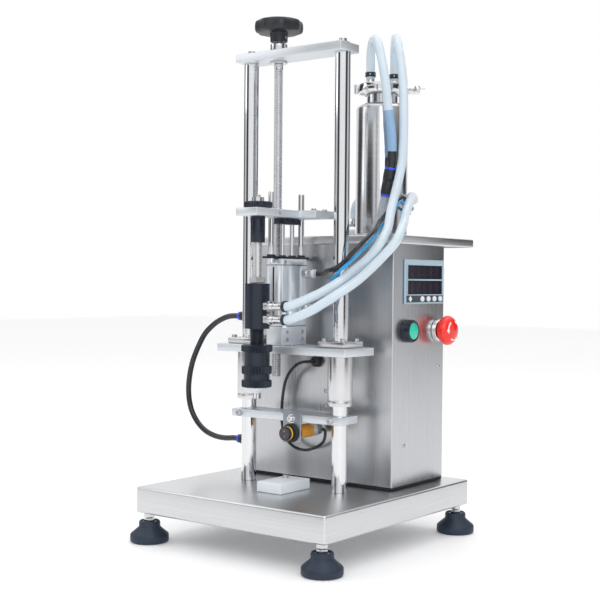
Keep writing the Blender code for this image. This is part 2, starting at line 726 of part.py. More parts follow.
def make_fittings():
    port = box("rear_ports", (-54, PORT_Y - 12, TANK_BOTTOM), (3, PORT_Y + 10, 420), "polished", edge=0.8)
    for x in PORTS_X:
        join(port, rod(f"port_{x:.0f}", (x, PORT_Y, 415), 4.0, PORT_TOP - 415, None, sides=14))
    fitting = [(6.5, 17), (6.5, 9), (7.5, 9), (7.5, 0), (4.8, 0), (4.8, -8), (2.5, -8), (2.5, 17)]
    for name, z in zip(("upper", "lower"), LOOP_ENDS_Z):
        turned(
            f"loop_fitting_{name}",
            (-CABINET_X - GAP, LOOP_Y, z),
            fitting,
            "black",
            turn=ALONG_LEFT,
            steps=18,
            closed=True,
        )
    gland = [(5.0, 9.5), (7, 7.5), (7, 0), (4.8, 0), (4.8, -7), (2.5, -7), (2.5, 9.5)]
    turned(
        "lead_gland",
        (4.8, CABINET_FRONT - GAP, 233.4),
        gland,
        "black",
        turn=ALONG_FRONT,
        steps=16,
        closed=True,
    )
    block = box("stop_block", (-8, -64, TRAY_TOP + GAP), (31, -3, 85.5), "white", edge=1.0)
    drill(block, (4, -20, 78), 3.3, 10, sides=14)


def make_hoses():
    lid_a, lid_b = LID_BARBS
    hose(
        "tank_hose",
        [
            (*lid_a, 616.3), (*lid_a, 625), (36, 120, 634), (39, 116, 652), (47.5, 107, 663),
            (56, 100, 665.5), (66, 92.5, 657.5), (73.5, 88, 641.5), (79, 87, 622), (82.5, 88.5, 596),
            (84.5, 91.5, 567),
            (86.5, 95.5, 541.5), (86.5, 98, 520), (85.5, 99.5, 505), (83.5, 100.5, 491.5),
            (79.5, 101.5, 474.5), (76.5, 101.5, 459), (72.5, 101, 445), (68.5, 100, 428),
            (63.5, 97.5, 416), (62, 97, 408.5), (62, 97, COVER_TOP + GAP),
        ],
        HOSE,
        "clear",
    )
    hose(
        "upper_nozzle_hose",
        [
            (*lid_b, 616.3), (*lid_b, 625), (54, 152, 637.5), (56, 149, 656), (62.5, 140, 667.5),
            (70, 129, 669.7), (79, 120, 662), (87, 112.5, 646.5), (92, 110.5, 627), (96, 109.5, 597.5),
            (98, 108, 557.5), (98.5, 107, 529.5), (98, 105, 501.5), (97, 100, 480), (97, 91, 458),
            (100, 79, 441), (107, 63, 425), (117, 42, 408), (122, 17, 387.5), (110, 11, 370),
            (95, 1, 354.5), (86, -18, 340), (70.6, -32, 327), (56.8, -45, 318), (45, -56.5, 311),
            (NOZZLE_HOSE_X + 8, NOZZLE_Y, BARB_Z[0]), (NOZZLE_HOSE_X, NOZZLE_Y, BARB_Z[0]),
        ],
        HOSE,
        "clear",
    )
    hose(
        "lower_nozzle_hose",
        [
            (PORTS_X[0], PORT_Y, PORT_TOP + GAP), (PORTS_X[0], PORT_Y, 441),
            (-43, 202, 452), (-28, 202, 466), (-5, 201, 471),
            (20, 198, 467), (42, 191.5, 460), (58, 184, 455), (69, 176.5, 453), (78.5, 166, 453),
            (85.5, 154, 455), (91.5, 139.5, 456),
            (99.5, 124, 451), (107.5, 107.5, 443), (117, 85, 429), (134, 51, 411), (138, 29, 390),
            (127.5, 18, 373), (117, 7, 357.5), (106, -8, 341.5), (93, -23, 327.7),
            (81, -37.5, 315.8), (66, -49, 304), (48, -59, 294.5),
            (NOZZLE_HOSE_X + 8, NOZZLE_Y, BARB_Z[1]), (NOZZLE_HOSE_X, NOZZLE_Y, BARB_Z[1]),
        ],
        HOSE,
        "clear",
    )
    hose(
        "air_tube",
        [
            (PORTS_X[1], PORT_Y, PORT_TOP + GAP), (PORTS_X[1], PORT_Y, 437),
            (-24, 202, 445), (-15, 203, 453), (4, 203, 455),
            (25, 199, 450), (45, 191, 445), (61.5, 179.5, 441.5), (75, 166.5, 441), (82.5, 151.5, 443),
            (85, 135, 450), (87, 121.5, 453.5), (88.5, 106.5, 446.5), (90.5, 91.5, 438),
            (95, 70, 427), (103, 44, 416), (114, 18, 405.5), (115, -10, 389), (106, -21, 374.5),
            (92, -16.5, 364.5),
            (77, -15.5, 356.5), (58, -8, 353), (41, 12.5, 351),
            (AIR_HOSE_X + 6, AIR_PORT_Y, AIR_PORTS_Z[0]), (AIR_HOSE_X, AIR_PORT_Y, AIR_PORTS_Z[0]),
        ],
        AIR_TUBE,
        "black",
    )
    hose(
        "blue_tube",
        [
            (PORTS_X[2], PORT_Y, PORT_TOP + GAP), (PORTS_X[2], PORT_Y, 436),
            (-3.5, 202, 441), (5, 203, 444), (24, 204, 440),
            (46, 194, 434), (62, 176, 434), (75, 162, 434.5), (82.5, 144, 436),
            (87.5, 127, 442.5), (92.5, 115.5, 448), (94.5, 103, 444.5), (97, 87, 433.5),
            (101.5, 65, 418.5), (107, 38, 407), (115.5, 14, 396), (110.5, -7.5, 377.5), (102, -18, 364.5),
            (90, -20, 355.5), (77, -16.5, 345.5), (61, -10, 333), (45, 3, 321.5), (35, 14.5, 309.5),
            (AIR_HOSE_X + 4, AIR_PORT_Y, AIR_PORTS_Z[1]), (AIR_HOSE_X, AIR_PORT_Y, AIR_PORTS_Z[1]),
        ],
        BLUE_TUBE,
        "blue",
        bevel_resolution=1,
    )
    hose(
        "sensor_lead",
        [
            (SENSOR_X + 7.5 + GAP, 33, SENSOR_Z), (SENSOR_X + 10, 33, SENSOR_Z),
            (28.5, 33, 141), (24, 33, 127), (0, 33, 115.5),
            (-22, 33, 117), (-38, 33, 129), (-44.5, 33, 150), (-43.8, 33, 182), (-36, 31.5, 209),
            (-18, 27, 227), (-5, 26.5, 232.5), (2.5, 28.5, 233.4), (4.8, 33.5, 233.4), (4.8, 36.9, 233.4),
        ],
        SENSOR_LEAD,
        "black",
        bevel_resolution=1,
    )
    upper_z, lower_z = LOOP_ENDS_Z
    end_x = -CABINET_X - GAP - 17 - GAP
    hose(
        "loop_hose",
        [
            (end_x, LOOP_Y, upper_z), (end_x - 8, LOOP_Y, upper_z), (-160, LOOP_Y, 289),
            (-172, LOOP_Y, 285.5),
            (-188, LOOP_Y, 277.5), (-206, LOOP_Y, 263), (-219, LOOP_Y, 244), (-230, LOOP_Y, 222),
            (-236.5, LOOP_Y, 198), (-238, LOOP_Y, 174), (-233, LOOP_Y, 152), (-221, LOOP_Y, 134),
            (-204, LOOP_Y, 121.5), (-184, LOOP_Y, 115.5), (-165, LOOP_Y, 114.5),
            (end_x - 8, LOOP_Y, lower_z), (end_x, LOOP_Y, lower_z),
        ],
        LOOP_HOSE,
        "black",
    )


make_tray()
make_columns()
make_beam()
make_height_screw()
make_carriage()
make_cylinder()
make_head()
make_nozzle()
make_sensor()
make_cabinet()
make_panel()
make_buttons()
make_tank()
make_fittings()
make_hoses()
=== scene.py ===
import math

import bmesh
import bpy
from mathutils import Matrix, Vector


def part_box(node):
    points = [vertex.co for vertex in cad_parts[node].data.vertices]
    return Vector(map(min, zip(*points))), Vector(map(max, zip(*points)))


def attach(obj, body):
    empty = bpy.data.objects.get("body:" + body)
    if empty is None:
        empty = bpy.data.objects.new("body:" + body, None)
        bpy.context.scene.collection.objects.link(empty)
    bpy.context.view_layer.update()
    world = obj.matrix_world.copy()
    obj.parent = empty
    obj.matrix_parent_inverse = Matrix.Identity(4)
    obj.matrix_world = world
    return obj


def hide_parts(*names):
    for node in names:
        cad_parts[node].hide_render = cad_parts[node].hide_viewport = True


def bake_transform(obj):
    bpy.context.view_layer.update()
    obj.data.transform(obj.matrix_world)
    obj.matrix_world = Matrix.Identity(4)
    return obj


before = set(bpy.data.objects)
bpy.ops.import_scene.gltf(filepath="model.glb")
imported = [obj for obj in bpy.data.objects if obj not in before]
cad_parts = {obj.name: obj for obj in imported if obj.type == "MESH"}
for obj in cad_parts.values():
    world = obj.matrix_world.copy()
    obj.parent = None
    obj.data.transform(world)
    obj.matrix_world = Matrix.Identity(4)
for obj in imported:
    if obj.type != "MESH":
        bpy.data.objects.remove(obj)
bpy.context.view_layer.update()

mm = 0.001
columnLow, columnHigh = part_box("column_left")
columnY = (columnLow.y + columnHigh.y) / 2
columnX = abs(columnLow.x + columnHigh.x) / 2 / mm
up = (0.0, 0.0, 1.0)
toRight = (1.0, 0.0, 0.0)
toLeft = (-1.0, 0.0, 0.0)
toFront = (0.0, -1.0, 0.0)
toBack = (0.0, 1.0, 0.0)


# a place given in millimetres from the middle between the two columns
def at(x, y, z):
    return Vector((x * mm, y * mm + columnY, z * mm))


studio = {
    "place": (0.9350, -1.25585, 0.3396),
    "turn": 37.5,
    "dip": 0.91,
    "roll": 0.48,
    "lens": 70.05,
    "floorSize": 14.0,
    "worldStrength": 1.0,
    "strips": ((0.58, 1.0), (0.70, 0.08), (0.93, 0.03), (0.97, 0.75)),  # how far aside, and how light
    "stripTops": (0.35, 0.75),
    "lamps": [
        # place, aim, size, power
        ((1.9, -1.9, 2.0), (0.0, 0.0, 0.3), 1.6, 16.0),
        ((-2.0, -1.6, 1.6), (0.0, 0.0, 0.3), 1.4, 9.0),
        ((0.2, 0.4, 2.6), (0.0, 0.0, 0.2), 2.2, 14.0),
    ],
}


def makeCamera():
    turn, dip, roll = (math.radians(studio[part]) for part in ("turn", "dip", "roll"))
    forward = Vector((-math.sin(turn) * math.cos(dip), math.cos(turn) * math.cos(dip), -math.sin(dip)))
    right = Vector((math.cos(turn), math.sin(turn), 0.0))
    above = right.cross(forward)
    across = right * math.cos(roll) + above * math.sin(roll)
    upright = above * math.cos(roll) - right * math.sin(roll)
    lens = bpy.data.cameras.new("camera")
    lens.lens = studio["lens"]
    lens.sensor_width = 36.0
    lens.clip_end = 50.0
    camera = bpy.data.objects.new("camera", lens)
    bpy.context.scene.collection.objects.link(camera)
    aim = Matrix((across, upright, -forward)).transposed().to_4x4()
    camera.matrix_world = Matrix.Translation(studio["place"]) @ aim
    bpy.context.scene.camera = camera
    bpy.context.scene.view_settings.view_transform = "Standard"
    return right


# the studio is white, with a narrow dark strip on each side that polished metal mirrors
def makeWorld(right):
    world = bpy.data.worlds.new("studio")
    bpy.context.scene.world = world
    world.use_nodes = True
    nodes, links = world.node_tree.nodes, world.node_tree.links
    background = nodes["Background"]
    background.inputs["Strength"].default_value = studio["worldStrength"]
    where = nodes.new("ShaderNodeTexCoord")
    side = nodes.new("ShaderNodeVectorMath")
    side.operation = "DOT_PRODUCT"
    side.inputs[1].default_value = right
    both = nodes.new("ShaderNodeMath")
    both.operation = "ABSOLUTE"
    ramp = nodes.new("ShaderNodeValToRGB")
    stops = ramp.color_ramp.elements
    stops[0].position, stops[0].color = 0.0, (1.0, 1.0, 1.0, 1.0)
    stops[1].position, stops[1].color = 1.0, (0.55, 0.57, 0.60, 1.0)
    for position, shade in studio["strips"]:
        stop = stops.new(position)
        stop.color = (shade, shade, shade * 1.03, 1.0)
    height = nodes.new("ShaderNodeSeparateXYZ")
    lift = nodes.new("ShaderNodeMapRange")
    lift.inputs["From Min"].default_value, lift.inputs["From Max"].default_value = studio["stripTops"]
    mix = nodes.new("ShaderNodeMix")
    mix.data_type = "RGBA"
    mix.inputs["B"].default_value = (1.0, 1.0, 1.0, 1.0)
    links.new(where.outputs["Generated"], side.inputs[0])
    links.new(where.outputs["Generated"], height.inputs[0])
    links.new(side.outputs["Value"], both.inputs[0])
    links.new(both.outputs[0], ramp.inputs["Fac"])
    links.new(height.outputs["Z"], lift.inputs["Value"])
    links.new(lift.outputs["Result"], mix.inputs["Factor"])
    links.new(ramp.outputs["Color"], mix.inputs["A"])
    links.new(mix.outputs["Result"], background.inputs["Color"])


def makeLamps():
    for number, (place, aim, size, power) in enumerate(studio["lamps"]):
        light = bpy.data.lights.new(f"softbox{number}", "AREA")
        light.size = size
        light.energy = power
        lamp = bpy.data.objects.new(f"softbox{number}", light)
        bpy.context.scene.collection.objects.link(lamp)
        lamp.location = place
        lamp.rotation_euler = (Vector(aim) - Vector(place)).to_track_quat("-Z", "Y").to_euler()


# each finish: colour, how much the colour wanders, roughness from and to, how fine the grain is along
# X, Y and Z (or one number for all three), size of the broad clouding, bump, and the shader's sockets
finishes = {
    "brushedUpright": (
        (0.56, 0.57, 0.585), 0.1, (0.24, 0.36), (900.0, 900.0, 9.0), 7.0, 0.05, {"Metallic": 1.0},
    ),
    "brushedAcross": (
        (0.66, 0.67, 0.68), 0.09, (0.25, 0.36), (9.0, 14.0, 900.0), 6.0, 0.05, {"Metallic": 1.0},
    ),
    "tankSteel": (
        (0.62, 0.63, 0.645), 0.07, (0.14, 0.24), (30.0, 30.0, 1100.0), 9.0, 0.03, {"Metallic": 1.0},
    ),
    "chrome": ((0.74, 0.75, 0.76), 0.03, (0.05, 0.11), (60.0, 60.0, 900.0), 16.0, 0.015, {"Metallic": 1.0}),
    "turnedSteel": (
        (0.66, 0.66, 0.67), 0.08, (0.16, 0.27), (120.0, 120.0, 1500.0), 22.0, 0.04, {"Metallic": 1.0},
    ),
    "screwSteel": ((0.52, 0.53, 0.55), 0.12, (0.2, 0.34), 700.0, 40.0, 0.05, {"Metallic": 1.0}),
    "satinPlate": (
        (0.73, 0.765, 0.8), 0.05, (0.34, 0.46), (18.0, 500.0, 500.0), 12.0, 0.05, {"Metallic": 0.75},
    ),
    "satinBlock": (
        (0.8, 0.84, 0.89), 0.04, (0.3, 0.42), (500.0, 500.0, 22.0), 18.0, 0.04, {"Metallic": 0.55},
    ),
    "bracketSteel": (
        (0.33, 0.36, 0.4), 0.05, (0.3, 0.4), (500.0, 500.0, 40.0), 18.0, 0.03, {"Metallic": 0.85},
    ),
    "blackAnodised": ((0.012, 0.018, 0.032), 0.15, (0.22, 0.32), 1300.0, 26.0, 0.03, {"Metallic": 0.2}),
    "blackPlastic": ((0.016, 0.018, 0.024), 0.25, (0.34, 0.5), 1700.0, 24.0, 0.12, {}),
    "footRubber": ((0.014, 0.027, 0.052), 0.25, (0.42, 0.6), 420.0, 34.0, 0.35, {}),
    "gasketRubber": ((0.012, 0.013, 0.016), 0.3, (0.6, 0.8), 600.0, 30.0, 0.2, {}),
    "whitePlastic": (
        (0.84, 0.88, 0.93), 0.02, (0.36, 0.48), 900.0, 15.0, 0.06,
        {"Subsurface Weight": 0.15, "Subsurface Radius": (0.004, 0.004, 0.005)},
    ),
    "siliconeHose": (
        (0.76, 0.87, 0.95), 0.02, (0.2, 0.28), 70.0, 12.0, 0.006,
        {"Transmission Weight": 0.22, "IOR": 1.41, "Coat Weight": 0.3, "Coat Roughness": 0.12},
    ),
    "wetSilicone": (
        (0.36, 0.58, 0.84), 0.06, (0.16, 0.28), (70.0, 70.0, 40.0), 20.0, 0.01,
        {"Transmission Weight": 0.3, "IOR": 1.41, "Coat Weight": 0.3, "Coat Roughness": 0.12},
    ),
    "greySilicone": (
        (0.56, 0.61, 0.66), 0.05, (0.2, 0.32), 70.0, 18.0, 0.01,
        {"Transmission Weight": 0.25, "IOR": 1.41, "Coat Weight": 0.2, "Coat Roughness": 0.15},
    ),
    "blackTube": ((0.01, 0.012, 0.017), 0.2, (0.2, 0.32), 300.0, 20.0, 0.03, {"Coat Weight": 0.2}),
    "blueTube": (
        (0.01, 0.42, 0.88), 0.1, (0.16, 0.28), 260.0, 30.0, 0.03,
        {"Transmission Weight": 0.2, "Coat Weight": 0.3},
    ),
    "blueCollar": ((0.03, 0.09, 0.8), 0.06, (0.22, 0.34), 900.0, 30.0, 0.05, {}),
    "sensorOrange": ((0.86, 0.36, 0.012), 0.08, (0.26, 0.38), 900.0, 40.0, 0.06, {"Coat Weight": 0.15}),
    "sensorYellow": ((0.95, 0.62, 0.04), 0.05, (0.25, 0.35), 900.0, 40.0, 0.05, {"Coat Weight": 0.2}),
    "sensorLens": ((0.02, 0.008, 0.022), 0.2, (0.08, 0.15), 300.0, 50.0, 0.01, {"Coat Weight": 0.6}),
    "clearCap": (
        (0.88, 0.91, 0.94), 0.02, (0.08, 0.16), 300.0, 30.0, 0.02,
        {"Transmission Weight": 0.75, "IOR": 1.49},
    ),
    "frameGrey": ((0.4, 0.52, 0.6), 0.05, (0.36, 0.48), 1300.0, 20.0, 0.08, {}),
    "frameWhite": ((0.8, 0.84, 0.86), 0.03, (0.3, 0.42), 1300.0, 20.0, 0.05, {}),
    "windowGlass": ((0.016, 0.02, 0.034), 0.12, (0.06, 0.12), 300.0, 26.0, 0.01, {"Coat Weight": 0.5}),
    "unlitSegment": ((0.075, 0.02, 0.022), 0.1, (0.2, 0.3), 600.0, 40.0, 0.02, {"Coat Weight": 0.4}),
    "keyRubber": ((0.045, 0.055, 0.07), 0.15, (0.42, 0.55), 1100.0, 40.0, 0.08, {}),
    "greenButton": (
        (0.02, 0.58, 0.4), 0.06, (0.16, 0.26), 700.0, 40.0, 0.03,
        {"Coat Weight": 0.4, "Coat Roughness": 0.08},
    ),
    "redButton": (
        (0.92, 0.018, 0.008), 0.06, (0.17, 0.28), 700.0, 40.0, 0.03,
        {"Coat Weight": 0.35, "Coat Roughness": 0.1},
    ),
    "paintWhite": ((0.9, 0.86, 0.84), 0.03, (0.4, 0.5), 900.0, 40.0, 0.03, {}),
    "pumpCasting": ((0.42, 0.43, 0.45), 0.14, (0.42, 0.58), 380.0, 24.0, 0.3, {"Metallic": 0.85}),
    "brassNut": (
        (0.62, 0.46, 0.22), 0.1, (0.22, 0.34), (200.0, 200.0, 1200.0), 30.0, 0.05, {"Metallic": 1.0},
    ),
    "paleFloor": (
        (0.93, 0.93, 0.935), 0.01, (0.5, 0.6), 12.0, 1.5, 0.02,
        {"Specular IOR Level": 0.25, "Emission Color": (1.0, 1.0, 1.0, 1.0), "Emission Strength": 0.12},
    ),
}


def makeFinish(name):
    colour, spread, roughness, fine, clouding, bumping, sockets = finishes[name]
    material = bpy.data.materials.new(name)
    material.use_nodes = True
    nodes, links = material.node_tree.nodes, material.node_tree.links
    shader = nodes["Principled BSDF"]
    for socket, value in sockets.items():
        shader.inputs[socket].default_value = value
    where = nodes.new("ShaderNodeTexCoord")
    stretch = nodes.new("ShaderNodeMapping")
    stretch.inputs["Scale"].default_value = fine if isinstance(fine, tuple) else (fine, fine, fine)
    grain = nodes.new("ShaderNodeTexNoise")
    grain.inputs["Scale"].default_value = 1.0
    grain.inputs["Detail"].default_value = 3.0
    cloud = nodes.new("ShaderNodeTexNoise")
    cloud.inputs["Scale"].default_value = clouding
    cloud.inputs["Detail"].default_value = 2.0
    blend = nodes.new("ShaderNodeMix")
    blend.inputs["Factor"].default_value = 0.45  # share of the clouding in the grain
    ramp = nodes.new("ShaderNodeValToRGB")
    rough = nodes.new("ShaderNodeMapRange")
    low, high = ramp.color_ramp.elements
    low.position, high.position = 0.3, 0.7  # noise seldom reaches further out than this
    rough.inputs["From Min"].default_value = low.position
    rough.inputs["From Max"].default_value = high.position
    rough.inputs["To Min"].default_value, rough.inputs["To Max"].default_value = roughness
    low.color = (*(part * (1 - spread) for part in colour), 1.0)
    high.color = (*(min(1.0, part * (1 + spread)) for part in colour), 1.0)
    bump = nodes.new("ShaderNodeBump")
    bump.inputs["Strength"].default_value = bumping
    bump.inputs["Distance"].default_value = 0.0006
    for source, target in (
        (where.outputs["Object"], stretch.inputs["Vector"]),
        (stretch.outputs["Vector"], grain.inputs["Vector"]),
        (where.outputs["Object"], cloud.inputs["Vector"]),
        (grain.outputs["Fac"], blend.inputs["A"]),
        (cloud.outputs["Fac"], blend.inputs["B"]),
        (blend.outputs["Result"], ramp.inputs["Fac"]),
        (blend.outputs["Result"], rough.inputs["Value"]),
        (ramp.outputs["Color"], shader.inputs["Base Color"]),
        (rough.outputs["Result"], shader.inputs["Roughness"]),
        (grain.outputs["Fac"], bump.inputs["Height"]),
        (bump.outputs["Normal"], shader.inputs["Normal"]),
    ):
        links.new(source, target)
    return material


def finish(name):
    return bpy.data.materials.get(name) or makeFinish(name)


def shown(mesh, finishName, smoothBelow=32.0):
    mesh.shade_smooth()
    mesh.set_sharp_from_angle(angle=math.radians(smoothBelow))
    mesh.materials.append(finish(finishName))
    obj = bpy.data.objects.new(mesh.name, mesh)
    bpy.context.scene.collection.objects.link(obj)
    return obj


def meshOf(shape, name="shape"):
    bmesh.ops.recalc_face_normals(shape, faces=shape.faces)
    mesh = bpy.data.meshes.new(name)
    shape.to_mesh(mesh)
    shape.free()
    return mesh


# a block between two corners with rounded edges
def block(low, high, finishName, edge=0.8, segments=3):
    corner, far = at(*low), at(*high)
    shape = bmesh.new()
    bmesh.ops.create_cube(shape, size=1.0)
    bmesh.ops.scale(shape, vec=far - corner, verts=shape.verts)
    bmesh.ops.translate(shape, vec=(corner + far) / 2, verts=shape.verts)
    if edge:
        bmesh.ops.bevel(
            shape, geom=shape.edges[:], offset=edge * mm, offset_type="OFFSET",
            segments=segments, profile=0.5, affect="EDGES",
        )
    return shown(meshOf(shape), finishName, 50.0)


# gives a shape the mesh that its modifiers make
def baked(obj):
    bpy.context.view_layer.update()
    mesh = bpy.data.meshes.new_from_object(obj.evaluated_get(bpy.context.evaluated_depsgraph_get()))
    obj.modifiers.clear()
    obj.data = mesh
    return obj


# cuts the tools out of a shape
def carve(obj, *tools):
    for tool in tools:
        step = obj.modifiers.new("carve", "BOOLEAN")
        step.object = tool
        step.solver = "EXACT"
    baked(obj)
    for tool in tools:
        bpy.data.objects.remove(tool, do_unlink=True)


def radiusAt(radius, form, angle):
    if form is None:
        return radius
    if form == "hex":
        sixth = math.pi / 3
        return radius / math.cos((angle % sixth) - sixth / 2)
    count, depth = form
    return radius + depth * math.cos(count * angle)


# cuts the sharp corners of a turned profile by a small radius
def soften(profile, amount):
    points = []
    for i, entry in enumerate(profile):
        if i in (0, len(profile) - 1) or entry[0] < amount or len(entry) > 2:
            points.append(entry)
            continue
        here = Vector(entry[:2])
        before, after = Vector(profile[i - 1][:2]) - here, Vector(profile[i + 1][:2]) - here
        short = min(amount, before.length * 0.45, after.length * 0.45)
        if short < 0.05 or before.angle(after) > 2.9:
            points.append(entry)
            continue
        first = here + before.normalized() * short
        last = here + after.normalized() * short
        middle = (first + last) / 2 * 0.5 + here * 0.5
        points += [tuple(first), tuple(middle), tuple(last)]
    return points


# a turned piece: radius and height of each ring, with an optional form: hex, or waves round the edge
def turned(profile, finishName, base=(0, 0, 0), along=up, steps=48, closed=False, edge=0.35):
    rings = soften(profile, edge) if edge else list(profile)
    if not closed:
        if rings[0][0] > 0:
            rings.insert(0, (0.0, rings[0][1]))
        if rings[-1][0] > 0:
            rings.append((0.0, rings[-1][1]))
    toAxis = Vector(up).rotation_difference(Vector(along)).to_matrix()
    origin = at(*base)
    shape = bmesh.new()
    made = []
    for radius, height, *form in rings:
        if radius < 1e-6:
            made.append([shape.verts.new(origin + toAxis @ Vector((0, 0, height * mm)))])
            continue
        verts = []
        for step in range(steps):
            angle = math.tau * step / steps
            reach = radiusAt(radius, form[0] if form else None, angle) * mm
            point = Vector((reach * math.cos(angle), reach * math.sin(angle), height * mm))
            verts.append(shape.verts.new(origin + toAxis @ point))
        made.append(verts)
    pairs = list(zip(made, made[1:]))
    if closed:
        pairs.append((made[-1], made[0]))
    for one, two in pairs:
        for i in range(steps):
            j = (i + 1) % steps
            corners = [one[i % len(one)], one[j % len(one)], two[j % len(two)], two[i % len(two)]]
            corners = list(dict.fromkeys(corners))
            if len(corners) > 2:
                shape.faces.new(corners)
    return shown(meshOf(shape), finishName)


# a screw thread: the rings climb in steps while the crest winds round them
def threaded(root, crest, low, high, pitch, finishName, base=(0, 0, 0), along=up, steps=20, perTurn=6):
    toAxis = Vector(up).rotation_difference(Vector(along)).to_matrix()
    origin = at(*base)
    rows = max(4, round((high - low) / pitch * perTurn))
    shape = bmesh.new()
    grid = []
    for row in range(rows + 1):
        height = low + (high - low) * row / rows
        line = []
        for step in range(steps):
            phase = (height / pitch - step / steps) % 1.0
            share = min(1.0, max(0.0, 2.2 * (1.0 - abs(2 * phase - 1.0)) - 0.6))
            radius = (root + (crest - root) * share) * mm
            angle = math.tau * step / steps
            point = Vector((radius * math.cos(angle), radius * math.sin(angle), height * mm))
            line.append(shape.verts.new(origin + toAxis @ point))
        grid.append(line)
    for first, second in zip(grid, grid[1:]):
        for i in range(steps):
            j = (i + 1) % steps
            shape.faces.new((first[i], first[j], second[j], second[i]))
    shape.faces.new(reversed(grid[0]))
    shape.faces.new(grid[-1])
    return shown(meshOf(shape), finishName, 80.0)


def capScrew(base, along, radius, height, finishName="screwSteel"):
    deep = height * 0.45
    profile = [
        (0.0, deep), (radius * 0.5, deep, "hex"), (radius * 0.5, height, "hex"),
        (radius * 0.9, height), (radius, height * 0.9), (radius, 0.0), (0.0, 0.0),
    ]
    return turned(profile, finishName, base, along, steps=24, edge=0)


def domeScrew(base, along, radius, height, finishName="screwSteel"):
    profile = [
        (0.0, height * 0.45), (radius * 0.42, height * 0.45, "hex"),
        (radius * 0.42, height * 0.95, "hex"), (radius * 0.6, height * 0.86),
        (radius * 0.85, height * 0.55), (radius, 0.12), (radius, 0.0), (0.0, 0.0),
    ]
    return turned(profile, finishName, base, along, steps=24, edge=0)


# a flat plate cut to an outline
def slab(outline, low, high, finishName, edge=0.6):
    shape = bmesh.new()
    verts = [shape.verts.new(at(x, y, low)) for x, y in outline]
    bottom = shape.faces.new(verts)
    raised = bmesh.ops.extrude_face_region(shape, geom=[bottom])["geom"]
    risen = [part for part in raised if isinstance(part, bmesh.types.BMVert)]
    bmesh.ops.translate(shape, vec=(0, 0, (high - low) * mm), verts=risen)
    bmesh.ops.recalc_face_normals(shape, faces=shape.faces)
    sharp = [line for line in shape.edges if line.calc_face_angle(0.0) > math.radians(40)]
    bmesh.ops.bevel(
        shape, geom=sharp, offset=edge * mm, offset_type="OFFSET", segments=2, profile=0.5, affect="EDGES"
    )
    return shown(meshOf(shape), finishName, 50.0)


# swings a shape about the upright line through a point
def swung(obj, angle, pivot):
    middle = at(*pivot)
    turn = Matrix.Translation(middle) @ Matrix.Rotation(angle, 4, "Z") @ Matrix.Translation(-middle)
    obj.data.transform(turn)
    return obj


# joins shapes into one piece, which rides on its body and stands for its CAD nodes
def piece(name, body, shapes, stands=()):
    shapes = list(shapes)
    if len(shapes) > 1:
        with bpy.context.temp_override(
            active_object=shapes[0], object=shapes[0],
            selected_objects=shapes, selected_editable_objects=shapes,
        ):
            bpy.ops.object.join()
    made = shapes[0]
    made.name = name
    made.data.name = name
    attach(made, body)
    if stands:
        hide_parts(*stands)
    return made


# one smooth curve through the points of a route
def smoothLine(corners, spacing):
    knots = [Vector(corner) for corner in corners]
    fine = []
    for i in range(1, len(knots) - 2):
        before, start, end, after = knots[i - 1 : i + 3]
        span = (end - start).length
        count = max(2, round(span / 1.5))
        inSlope = (end - before) * span / ((start - before).length + span)
        outSlope = (after - start) * span / ((after - end).length + span)
        for step in range(count):
            t = step / count
            fine.append(
                start * (2 * t**3 - 3 * t**2 + 1) + inSlope * (t**3 - 2 * t**2 + t)
                + end * (3 * t**2 - 2 * t**3) + outSlope * (t**3 - t**2)
            )
    fine.append(knots[-2])
    length = sum((b - a).length for a, b in zip(fine, fine[1:]))
    count = max(4, round(length / spacing))
    points, walked, target = [fine[0]], 0.0, length / count
    for a, b in zip(fine, fine[1:]):
        step = (b - a).length
        while walked + step >= target - 1e-6 and len(points) < count:
            points.append(a.lerp(b, (target - walked) / step))
            target += length / count
        walked += step
    return [at(*point) for point in (knots[0], *points, fine[-1], knots[-1])]


# the directions across the line at each point, carried along it without twist
def framesAlong(points):
    frames = []
    along = (points[1] - points[0]).normalized()
    across = along.orthogonal().normalized()
    for i in range(len(points)):
        ahead = points[min(i + 1, len(points) - 1)] - points[max(i - 1, 0)]
        ahead.normalize()
        across = (across - ahead * across.dot(ahead)).normalized()
        frames.append((across.copy(), ahead.cross(across)))
    return frames


def tube(points, frames, radius, bands, sides=20):
    shape = bmesh.new()
    rings = []
    for point, (across, beside) in zip(points, frames):
        ring = []
        for step in range(sides):
            angle = math.tau * step / sides
            aside = across * math.cos(angle) + beside * math.sin(angle)
            ring.append(shape.verts.new(point + aside * radius))
        rings.append(ring)
    names = list(dict.fromkeys(name for _, name in bands))
    for first, second, point in zip(rings, rings[1:], points):
        band = next(name for limit, name in bands if point.z >= limit * mm)
        for i in range(sides):
            j = (i + 1) % sides
            face = shape.faces.new((first[i], first[j], second[j], second[i]))
            face.material_index = names.index(band)
    shape.faces.new(reversed(rings[0]))
    last = shape.faces.new(rings[-1])
    last.material_index = names.index(band)
    made = shown(meshOf(shape), names[0], 60.0)
    for name in names[1:]:
        made.data.materials.append(finish(name))
    return made


